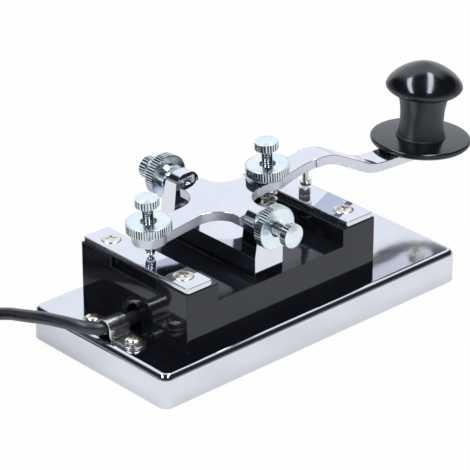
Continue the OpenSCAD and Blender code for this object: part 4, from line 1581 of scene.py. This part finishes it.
@dataclass(frozen=True)
class Lever:
    """Plated lever: a flat rear part with two wings, and a bent arm with a round nose."""

    end_r: float = 6.2
    rear_half: Point2 = (5.6, 4.6)
    wing: Point2 = (10.3, 30.6)
    scoop_r: Point2 = (8.5, 8.4)
    neck_half: float = 5.3
    boss_r: float = 6.6
    boss_end: float = 72.0
    flare_r: float = 50.0
    flare_turn: float = 15.5
    flare_half: float = 4.4
    waist: float = 38.0
    step: float = 41.0
    arm_half: float = 5.0
    nose_l: float = 25.7
    edge: float = 0.3
    contact_r: float = 2.15
    contact_t: float = 1.4
    contact_drop: float = 9.2
    contact_edge: float = 0.2
    pin_r: float = 1.2
    pin_top: float = 1.6

    def half_outline(self, length: float) -> list[Point2]:
        """Lay the far half of the flat blank's outline, from the rear end to the nose.

        Args:
            length: Distance from the pivot to the middle of the nose's round end, along the lever.

        Returns:
            The points, with both ends on the middle line.
        """
        wing_l, wing_half = self.wing[0] / 2, self.wing[1] / 2
        rear, front = self.scoop_r
        slope = (self.rear_half[0] - self.rear_half[1]) / (KEY.stop_reach - wing_l - rear)
        end = math.degrees(math.asin(self.rear_half[0] / self.end_r)) - math.degrees(math.atan(slope))
        points = arc((-KEY.stop_reach, 0.0), self.end_r, 180, end, 24)
        points += arc((-wing_l - rear, self.rear_half[1] + rear), rear, -90, 0, 16)
        points += [(-wing_l, wing_half), (wing_l, wing_half)]
        points += arc((wing_l + front, self.neck_half + front), front, 180, 270, 16)
        boss = math.degrees(math.asin(self.neck_half / self.boss_r))
        points += arc((KEY.tension_reach, 0.0), self.boss_r, 180 - boss, self.boss_end, 12)
        flare = (self.waist, self.flare_half + self.flare_r)
        points += arc(flare, self.flare_r, 270 - self.flare_turn, 270, 12)
        points += [(self.step, self.flare_half), (self.step, self.arm_half)]
        points += arc((length, 0.0), self.arm_half, 90, 0, 14)
        return points

    def build(self) -> None:
        """Make the lever and its contact."""
        first, second = KEY.bend_r
        lift = KEY.arm_bend - KEY.nose_drop
        start = -KEY.stop_reach - self.end_r
        runs = (Run(KEY.bend_start - start), Run(first * math.radians(KEY.arm_bend), -KEY.arm_bend),
                Run(KEY.bend_run), Run(second * math.radians(lift), lift), Run(self.nose_l + self.arm_half))
        length = start + sum(run.length for run in runs) - self.arm_half
        half = self.half_outline(length)
        outline = (*half, *((s, -v) for s, v in reversed(half[1:-1])))
        lever = BentBlank("plated_lever", outline, KEY.lever_t, start, runs).build()
        set_down(lever, KEY.on_lever(0.0))
        settle(soften(lever, self.edge), PART_CHROME, Body.LEVER, "lever")
        self.build_contact()

    def build_contact(self) -> None:
        """Make the upper contact with the pin that is riveted in the lever."""
        low, r = -self.contact_drop, self.contact_r
        profile = [(0.0, low), (r, low), (r, low + self.contact_t), (self.pin_r, low + self.contact_t),
                   (self.pin_r, self.pin_top), (0.0, self.pin_top)]
        contact = crease(revolve("upper_tip", eased(profile, self.contact_edge), segments=48))
        set_down(contact, KEY.on_lever(KEY.contact_reach))
        settle(contact, CONTACT_SILVER, Body.LEVER, "upper_contact")


@dataclass(frozen=True)
class Knob:
    """Moulded knob on its skirt disc, square to the lever's nose.

    The two lip fields draw the fine step in the skirt's edge.
    """

    skirt_d: float = 36.8
    skirt_t: float = 2.8
    dome_d: float = 28.0
    dome_h: float = 9.1
    dome_power: float = 1.3
    rim_h: float = 3.0
    rim_power: float = 1.17
    height: float = 28.6
    neck_d: float = 16.0
    waist_z: float = 7.0
    flare: Point2 = (0.85, 1.45)
    bead: Point2 = (0.3, 0.6)
    edge: float = 0.5
    lip_inset: Point2 = (0.1, 0.3)
    lip_z: tuple[float, float, float, float] = (1.1, 1.2, 1.3, 1.4)
    skirt_ease: float = 0.3
    screw_d: float = 7.0
    screw_h: float = 2.4
    seed: int = 7

    def profile(self) -> list[Point2]:
        """Lay the knob's profile: a bead at the foot, a waisted neck, a rim and a dome.

        Returns:
            The profile's points.
        """
        waist, rim_z = self.neck_d / 2, self.height - self.dome_h
        neck_top, rim = waist + self.flare[1], self.dome_d / 2
        rise = rim_z - self.rim_h - self.waist_z
        foot, bead_h = waist + self.flare[0] + self.bead[0], self.bead[1]
        points = [(0.0, 0.0), (foot, 0.0), (foot, bead_h / 2), (foot - self.bead[0] / 2, bead_h)]
        for i in range(-9, 11):
            flare, reach = (self.flare[0], self.waist_z) if i < 0 else (self.flare[1], rise)
            points.append((waist + flare * (i / 10) ** 2, self.waist_z + reach * i / 10))
        for angle in range(9, 91, 9):
            sine, cosine = math.sin(math.radians(angle)), math.cos(math.radians(angle))
            points.append((neck_top + (rim - neck_top) * sine ** self.rim_power,
                           rim_z - self.rim_h * max(cosine, 0.0) ** self.rim_power))
        for angle in range(3, 90, 3):
            sine, cosine = math.sin(math.radians(angle)), math.cos(math.radians(angle))
            points.append((rim * cosine ** self.dome_power, rim_z + self.dome_h * sine ** self.dome_power))
        return [*points, (0.0, self.height)]

    def build(self) -> None:
        """Make the knob, its skirt and the head of the screw under the nose."""
        seat = KEY.lever_t / 2
        knob = crease(revolve("moulded_knob", self.profile(), segments=128), angle=50)
        set_down(knob, KEY.on_nose(seat + self.skirt_t))
        settle(knob, KNOB_BLACK, Body.LEVER, "knob")
        r, t, e = self.skirt_d / 2, self.skirt_t, self.edge
        shallow, deep = (r - inset for inset in self.lip_inset)
        step = [*zip((shallow, deep, deep, r), self.lip_z)]
        lip = [(shallow, 2 * e), *step, (r, t - 1.5 * e)]
        face = [(0.0, 0.0), (r - 2 * e, 0.0), *lip, (r - e, t - e / 2), (self.neck_d / 2 + 2, t), (0.0, t)]
        skirt = crease(revolve("moulded_skirt", eased(face, self.skirt_ease), segments=144), angle=40)
        set_down(skirt, KEY.on_nose(seat))
        settle(skirt, SKIRT_BLACK, Body.LEVER, "knob_skirt")
        under = KEY.on_nose(-seat) @ Matrix.Rotation(math.pi, 4, "X")
        ScrewSet("knob_screw_head", "knob_screw", ((0.0, 0.0, 0.0),), self.screw_d, self.screw_h, self.seed,
                 place=under, body=Body.LEVER).build()


@dataclass(frozen=True)
class ThumbScrew:
    """Adjusting screw: a threaded stud, a knurled head and a knurled lock nut.

    The two knurl fields say how far the ribs' lower and upper ends lie from the rim's.
    """

    name: str
    place: Matrix
    tip: tuple[Point2, ...]
    head_z: float
    nut_z: float
    node_stem: str
    thread_r: float = 1.95
    pitch: float = 0.7
    ridge: float = 0.33
    pin_l: float = 1.5
    head_d: float = 8.4
    head_h: float = 3.5
    head_cone: float = 0.6
    head_ribs: int = 24
    nut_d: float = 15.8
    nut_t: float = 3.2
    nut_ribs: int = 52
    rib_depth: float = 0.5
    rib_share: float = 0.82
    collar: Point2 = (5.7, 0.9)
    bore_r: float = 2.0
    sink: float = 1.0
    edge: float = 0.1
    run_in: float = 0.2
    thread_play: float = 0.15
    head_knurl: Point2 = (0.1, 0.05)
    nut_knurl: Point2 = (0.02, 0.06)

    def build(self) -> None:
        """Make the stud, the head and the nut, each on its own body."""
        self.build_stud()
        self.build_head()
        self.build_nut()

    def build_stud(self) -> None:
        """Make the stud's core and wind its thread."""
        core = self.thread_r - self.ridge
        start, top = self.tip[-1][1], self.head_z + self.pin_l
        profile = [*self.tip, (core, start + self.run_in), (core, top), (0.0, top)]
        stud = revolve(f"{self.name}_thread", profile, segments=32)
        turns = (self.head_z - start - 2 * self.thread_play) / self.pitch
        run_tree(stud, "Wound wire", build_wound_wire, {
            "Wire sides": 4, "Wire radius": self.ridge * MM, "Radius": core * MM, "Turns": turns,
            "Pitch": self.pitch * MM, "Start": (start + self.thread_play) * MM,
            "Material": ZINC.material()})
        self.finish(stud, "screw", "stud")

    def knurl(self, piece: Object, radius: float, ribs: int, low: float, high: float) -> None:
        """Set ribs round a rim.

        Args:
            piece: The piece with the rim.
            radius: Radius over the ribs.
            ribs: Number of ribs.
            low: Height of their lower ends.
            high: Height of their upper ends.
        """
        half = self.rib_share * math.pi * radius / ribs
        run_tree(piece, "Rim ribs", build_rim_ribs, {
            "Ribs": ribs, "Radius": radius * MM, "Half width": half * MM, "Length": (high - low) * MM,
            "Middle": (low + high) / 2 * MM, "Material": ZINC.material()})

    def build_head(self) -> None:
        """Make the head: a turned disc with a low cone on top and a knurled edge."""
        r, h = self.head_d / 2, self.head_h
        core, flat = r - self.rib_depth, h - self.head_cone
        profile = [(0.0, 0.0), (core, 0.0), (core, flat), (r - 0.05, flat), (0.5 * r, h - 0.06), (0.0, h)]
        profile = [(x, self.head_z + z) for x, z in eased(profile, self.edge)]
        head = revolve(f"{self.name}_grip", profile, segments=56)
        below, above = self.head_knurl
        self.knurl(head, r, self.head_ribs, self.head_z + below, self.head_z + flat + above)
        self.finish(head, "head", "thumb")

    def build_nut(self) -> None:
        """Make the nut: a turned disc with a collar, a countersunk bore and a knurled edge."""
        r = self.nut_d / 2
        core = r - self.rib_depth
        collar_r, collar_t = self.collar
        top = collar_t + self.nut_t
        outside = [(collar_r, 0.0), (collar_r, collar_t), (core, collar_t),
                   (core, top - 0.2), (core - 0.15, top)]
        bore = [(self.bore_r + self.sink, top), (self.bore_r, top - self.sink)]
        profile = [(self.bore_r, 0.0), *outside, *bore]
        profile = [(x, self.nut_z + z) for x, z in eased(profile, self.edge)]
        nut = revolve(f"{self.name}_lock_ring", profile, segments=120, looped=True)
        below, above = self.nut_knurl
        self.knurl(nut, r, self.nut_ribs, self.nut_z + collar_t + below, self.nut_z + top - above)
        self.finish(nut, "lock", "nut")

    def finish(self, piece: Object, body: str, node: str) -> None:
        """Put one piece of the screw in its place and on its body."""
        crease(set_down(piece, self.place))
        settle(piece, ZINC, f"{self.name}_{body}", f"{self.node_stem}_{node}")


def thumb_screws() -> list[ThumbScrew]:
    """Lay out the adjusting screws.

    Returns:
        The rear stop, the tension screw, the near pivot and the far pivot.
    """
    core, ball_r, ball_z = 1.62, 1.95, -5.505
    angles = [math.radians(angle) for angle in range(0, 91, 15)]
    ball = tuple((core * math.sin(a), ball_z - ball_r * math.cos(a)) for a in angles)
    flange = ((0.0, -6.8), (1.2, -6.8), (1.4, -6.6), (1.4, -4.3), (2.9, -4.3), (3.0, -4.2), (3.0, -3.6),
              (2.9, -3.5), (core, -3.5))
    point_z, point_angle = 13.8, 30
    point = ((0.0, point_z), (core, point_z + core / math.tan(math.radians(point_angle))))
    rise, near, far = 11.7, 33.3, 35.2
    seat, face = KEY.lever_t / 2, KEY.yoke_w / 2
    return [
        ThumbScrew("stop", KEY.on_lever(-KEY.stop_reach), ball, rise, seat, "stop"),
        ThumbScrew("tension", KEY.on_lever(KEY.tension_reach), flange, rise, seat, "tension"),
        ThumbScrew("near", KEY.on_pivot(Side.NEAR), point, near, face, "near_pivot"),
        ThumbScrew("far", KEY.on_pivot(Side.FAR), point, far, face, "far_pivot",
                   nut_t=3.6, collar=(5.0, 2.8)),
    ]


@dataclass(frozen=True)
class ReturnSpring:
    """Return spring on the tension screw's axis, which shortens as the lever is pressed."""

    wire_r: float = 0.5
    radius: float = 2.5
    turns: float = 6.5
    bottom: float = -20.7
    top: float = -4.9
    travel: float = 0.39

    def build(self) -> None:
        """Wind the spring and set it on the frame."""
        spring = make_piece("wound_spring", [], [])
        pitch = (self.top - self.bottom) / self.turns
        run_tree(spring, "Wound wire", build_wound_wire, {
            "Wire sides": 14, "Wire radius": self.wire_r * MM, "Radius": self.radius * MM,
            "Turns": self.turns, "Pitch": pitch * MM, "Start": self.bottom * MM,
            "Material": SPRING_STEEL.material()})
        place = KEY.on_lever(KEY.tension_reach)
        crease(set_down(spring, place), angle=60)
        settle(spring, SPRING_STEEL, Body.FRAME, "return_spring")
        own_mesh(spring)


@dataclass(frozen=True)
class LowerContact:
    """Contact post on the front plate."""

    radius: float = 2.15
    top: float = 39.035
    shank_r: float = 1.5
    shank: float = 17.9
    edge: float = 0.18

    def build(self) -> None:
        """Make the post with its shank."""
        low = KEY.plate_top
        profile = [(0.0, low - self.shank), (self.shank_r, low - self.shank), (self.shank_r, low),
                   (self.radius, low), (self.radius, self.top), (0.0, self.top)]
        post = crease(revolve("lower_post", eased(profile, self.edge), segments=48))
        set_down(post, Matrix.Translation((KEY.contact_x, 0.0, 0.0)))
        settle(post, CONTACT_SILVER, Body.FRAME, "lower_contact")


@dataclass(frozen=True)
class CordClamp:
    """Saddle clamp over the cord: a strip with round ears, and two screws."""

    middle: float = KEY.base_x0 + 7.6
    thickness: float = 0.85
    play: float = 0.6
    ear_r: float = 4.2
    screw_y: float = 10.5
    fold_r: float = 0.9
    bend_step: float = 12.0
    edge: float = 0.2
    screw_d: float = 5.7
    screw_h: float = 1.9
    seed: int = 5

    def build(self) -> None:
        """Bend the strip and set its two screws."""
        t = self.thickness
        arch_r = KEY.cord_d / 2 + self.play + t / 2
        leg = KEY.cord_z - KEY.base_h - t / 2 - self.fold_r
        ear = self.screw_y + self.ear_r - arch_r - self.fold_r
        fold = Run(self.fold_r * math.pi / 2, 90)
        runs = (Run(ear), fold, Run(leg), Run(arch_r * math.pi, -180), Run(leg), fold, Run(ear))
        total = sum(run.length for run in runs)
        rear = arc((self.ear_r, 0.0), self.ear_r, 90, 270, 28)
        front = [(total - s, -v) for s, v in rear]
        strip = BentBlank("bent_clamp", (*rear, *front), t, 0.0, runs, self.bend_step).build()
        place = Matrix.Translation((self.middle, -self.screw_y - self.ear_r, KEY.base_h + t / 2))
        set_down(strip, place @ Matrix.Rotation(math.pi / 2, 4, "Z"))
        settle(soften(strip, self.edge), CLAMP_NICKEL, Body.FRAME, "cord_clamp")
        points = tuple((self.middle, side.value * self.screw_y, KEY.base_h + t) for side in Side)
        ScrewSet("clamp_screw_heads", "clamp_screws", points, self.screw_d, self.screw_h, self.seed).build()


CORD_ROUTE: tuple[Point3, ...] = (
    (-46.7, 0, 15.9), (-52.7, 0, 15.9), (-56.9, -0.3, 15.9), (-60.9, -0.35, 15.9), (-63.4, -0.18, 15.9),
    (-65.4, 0.2, 15.9), (-67.4, 1.25, 16.3), (-69.3, 3, 16.5), (-70.9, 6, 16.5), (-72, 10.5, 16.2),
    (-72.9, 16, 15.4), (-73.5, 22, 14.2), (-74, 28, 12.6), (-74.3, 34, 10.9), (-74.4, 40, 9.1),
    (-74.9, 46, 6.9), (-76.1, 50, 5.3), (-77.4, 54, 4.0), (-78.3, 58, 3.2))
TAIL_ROUTE: tuple[Point3, ...] = (
    (-136.6, 56, 7.7), (-136.6, 50, 6.2), (-136.6, 44, 4.9), (-136.6, 40, 4.5), (-136.6, 36, 4.5),
    (-136.6, 30, 4.5))
YOKE_WIRE: tuple[Point3, ...] = (
    (-46, -1, 15.9), (-40.7, -2, 17), (-25, -2, 17), (-18, -2.8, 19), (-13.7, -4, 21), (-13.7, -5.45, 22.6))
CONTACT_WIRE: tuple[Point3, ...] = (
    (-46, 1, 15.9), (-40.7, 2, 17), (-13, 3, 17), (14.9, 2, 17), (17.9, 1, 19), (22.3, 0, 21.1))


def smooth_line(points: Sequence[Point3], steps: int) -> list[Vector]:
    """Lay a smooth line through points.

    Args:
        points: The points that the line passes through.
        steps: Number of short sides between two of them.

    Returns:
        The line's points, both ends included.
    """
    spots = [Vector(point) for point in points]
    spots = [2 * spots[0] - spots[1], *spots, 2 * spots[-1] - spots[-2]]
    line = []
    for a, b, c, d in zip(spots, spots[1:], spots[2:], spots[3:]):
        for i in range(steps):
            t = i / steps
            line.append(0.5 * (2 * b + (c - a) * t + (2 * a - 5 * b + 4 * c - d) * t ** 2
                               + (3 * b - a - 3 * c + d) * t ** 3))
    return line + [spots[-2]]


def round_tube(name: str, line: Sequence[Vector], radius: float) -> Object:
    """Make a round tube along a line, as a curve of one open spline.

    Args:
        name: Name of the tube.
        line: Points of its middle line.
        radius: Its radius.

    Returns:
        The tube.
    """
    curve = bpy.data.curves.new(name, "CURVE")
    curve.dimensions = "3D"
    curve.bevel_depth = radius * MM
    curve.bevel_resolution = 6
    curve.use_fill_caps = True
    spline = curve.splines.new("POLY")
    spline.points.add(len(line) - 1)
    for spot, point in zip(spline.points, line):
        spot.co = (*(point * MM), 1.0)
    spline.use_smooth = True
    tube = bpy.data.objects.new(name, curve)
    bpy.context.scene.collection.objects.link(tube)
    return tube


@dataclass(frozen=True)
class Lead:
    """Cord from the body to its plug, with the spare length wound into a tied coil.

    A ring_z field holds the first ring's place along the plug's cover and the step to the next.
    """

    centre: Point2 = (-107.5, 60.0)
    outer_r: float = 29.1
    inner_r: float = 15.0
    turns: int = 3
    low_z: float = 3.1
    layer: float = 4.9
    dip: float = 1.0
    steps: int = 48
    tie_span: Point2 = (13.4, 28.2)
    tie_z: Point2 = (0.85, 10.25)
    tie_t: float = 0.8
    tie_w: float = 8.0
    tie_corner: float = 2.4
    plug_x: float = -136.6
    plug_z: float = 4.5
    boot_y: float = 36.0
    cover_l: float = 30.0
    cover_r: float = 4.4
    boot_r: float = 2.7
    boot_flare: float = 0.06
    boot_rings: int = 5
    boot_ring_z: Point2 = (1.2, 1.7)
    grip_rings: int = 8
    grip_ring_z: Point2 = (15.0, 1.3)
    grip_groove_r: float = 4.1
    plug_edge: float = 0.15
    pin_r: float = 1.75
    sleeve_l: float = 9.0
    ring_l: float = 0.8

    def coil(self) -> list[Point3]:
        """Lay the coil's line: wound in below, up half a turn, and out above.

        Returns:
            The line's points.
        """
        wind = self.turns * self.steps
        climb = self.steps // 2
        pitch = (self.outer_r - self.inner_r) / wind
        high_z = self.low_z + self.layer
        line = [(i, self.outer_r - pitch * i, self.low_z) for i in range(wind)]
        for i in range(climb):
            f = math.pi * i / climb
            lift = self.layer * (1 - math.cos(f)) / 2
            line.append((wind + i, self.inner_r - self.dip * math.sin(f), self.low_z + lift))
        line += [(wind + climb + i, self.inner_r + pitch * i, high_z) for i in range(wind + 1)]
        turn = 2 * math.pi / self.steps
        return [(self.centre[0] + r * math.cos(i * turn), self.centre[1] + r * math.sin(i * turn), z)
                for i, r, z in line]

    def build(self) -> None:
        """Lay the cord, tie its coil and put the plug on its end."""
        coil = self.coil()
        way_in = smooth_line((*CORD_ROUTE, coil[0]), 6)[:-1]
        way_out = smooth_line((coil[-1], *TAIL_ROUTE), 6)[1:]
        line = [*way_in, *(Vector(point) for point in coil), *way_out]
        cord = round_tube("sheathed_cord", line, KEY.cord_d / 2)
        settle(cord, CORD_PVC, Body.FRAME, "cord", "cord_coil", "cord_tail")
        pieces = [self.build_tie(), *self.build_plug()]

    def build_tie(self) -> Object:
        """Make the strap round the coil's turns.

        Returns:
            The strap.
        """
        low, high = self.tie_z
        t, half = self.tie_t, self.tie_w / 2
        inner, outer = self.centre[1] - self.tie_span[1], self.centre[1] - self.tie_span[0]
        middle = ((inner + outer) / 2, (low + high) / 2)
        loop = rounded_rectangle(outer - inner + t, high - low + t, self.tie_corner, 8)
        section = [(-half, -0.6), (-half + 0.2, -1.0), (half - 0.2, -1.0), (half, -0.6),
                   (half, 0.6), (half - 0.2, 1.0), (-half + 0.2, 1.0), (-half, 0.6)]
        rings = []
        for i, (y, z) in enumerate(loop):
            before, after = Vector(loop[i - 1]), Vector(loop[(i + 1) % len(loop)])
            along = (after - before).normalized()
            out = Vector((along.y, -along.x)) * t / 2
            rings.append([(self.centre[0] + x, middle[0] + y + out.x * f, middle[1] + z + out.y * f)
                          for x, f in section])
        tie = crease(loft("strap_tie", rings, looped=True), angle=50)
        return settle(tie, TIE_WEAVE, Body.FRAME, "coil_tie")

    def cover_profile(self) -> list[Point2]:
        """Lay the profile of the plug's cover: a ribbed boot, and a grip with rings.

        Returns:
            The profile's points.
        """
        grip, end, groove = self.cover_r, self.cover_l, self.grip_groove_r
        cover = [(0.0, 0.0), (2.5, 0.0), (self.boot_r, 0.3)]
        first, pitch = self.boot_ring_z
        for i in range(self.boot_rings):
            z = first + pitch * i
            r = self.boot_r + self.boot_flare * z
            cover += [(r, z), (r - 0.35, z + 0.15), (r - 0.35, z + 0.7), (r + 0.05, z + 0.85)]
        cover += [(3.3, 10.0), (4.0, 10.0), (grip, 10.6), (grip, 14.0)]
        first, pitch = self.grip_ring_z
        for i in range(self.grip_rings):
            z = first + pitch * i
            cover += [(grip, z), (groove, z + 0.2), (groove, z + 0.6), (grip, z + 0.8)]
        return [*cover, (grip, end - 0.7), (3.9, end), (0.0, end)]

    def build_plug(self) -> list[Object]:
        """Make the plug's pieces, from its boot to its tip.

        Returns:
            The pieces.
        """
        r, sleeve_l, ring_l = self.pin_r, self.sleeve_l, self.ring_l
        sleeve = [(0.0, 0.0), (r, 0.0), (r, sleeve_l), (0.0, sleeve_l)]
        ring = [(0.0, 0.0), (r, 0.0), (r, ring_l), (0.0, ring_l)]
        tip = [(0.0, 0.0), (1.6, 0.0), (1.0, 1.4), (r, 2.4), (0.6, 4.2), (0.0, 4.2)]
        ring_at = self.cover_l + sleeve_l
        pieces = []
        for name, node, along, profile, finish in (
                ("ribbed_cover", "plug_cover", 0.0, self.cover_profile(), PLUG_BLACK),
                ("plug_barrel", "plug_sleeve", self.cover_l, sleeve, PLUG_NICKEL),
                ("plug_insulator", "plug_ring", ring_at, ring, PLUG_BLACK),
                ("plug_point", "plug_tip", ring_at + ring_l, tip, PLUG_NICKEL)):
            piece = crease(revolve(name, eased(profile, self.plug_edge), segments=48))
            start = Matrix.Translation((self.plug_x, self.boot_y - along, self.plug_z))
            set_down(piece, start @ Matrix.Rotation(math.pi / 2, 4, "X"))
            pieces.append(settle(piece, finish, Body.FRAME, node))
        return pieces


@dataclass(frozen=True)
class Inside:
    """Pieces inside and under the body, which stay as the CAD model has them, and the two wires."""

    wire_r: float = 0.7

    def build(self, frame: dict) -> None:
        """Lay the wires and dress the pieces that stay.

        Args:
            frame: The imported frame.
        """
        for name, node, points, finish in (
                ("red_wire", "yoke_wire", YOKE_WIRE, WIRE_RED),
                ("blue_wire", "contact_wire", CONTACT_WIRE, WIRE_BLUE)):
            wire = round_tube(name, smooth_line(points, 8), self.wire_r)
            settle(wire, finish, Body.FRAME, node)
        stays = {PAD_RUBBER: ("base_pad",), SCREW_NICKEL: ("body_screws", "yoke_screws", "contact_nut"),
                 LUG_BRASS: ("yoke_lug", "contact_lug")}
        for finish, nodes in stays.items():
            for node in nodes:
                dress_node(frame, node, finish)


def main() -> None:
    """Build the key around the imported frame."""
    logging.basicConfig(level=logging.INFO, format="%(name)s: %(message)s")
    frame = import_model()
    Stage().build()
    Lead().build()
    Base().build()
    MouldedBody().build()
    TopPlate("rear_bar", "rear_plate", middle=KEY.body_x0 + 6.15, length=11.0, seed=3).build()
    TopPlate("front_bar", "front_plate", middle=KEY.body_x1 - 6.8, length=12.3, seed=4).build()
    Yoke().build()
    Lever().build()
    Knob().build()
    for screw in thumb_screws():
        screw.build()
    ReturnSpring().build()
    LowerContact().build()
    CordClamp().build()
    Inside().build(frame)


if __name__ == "__main__":
    main()
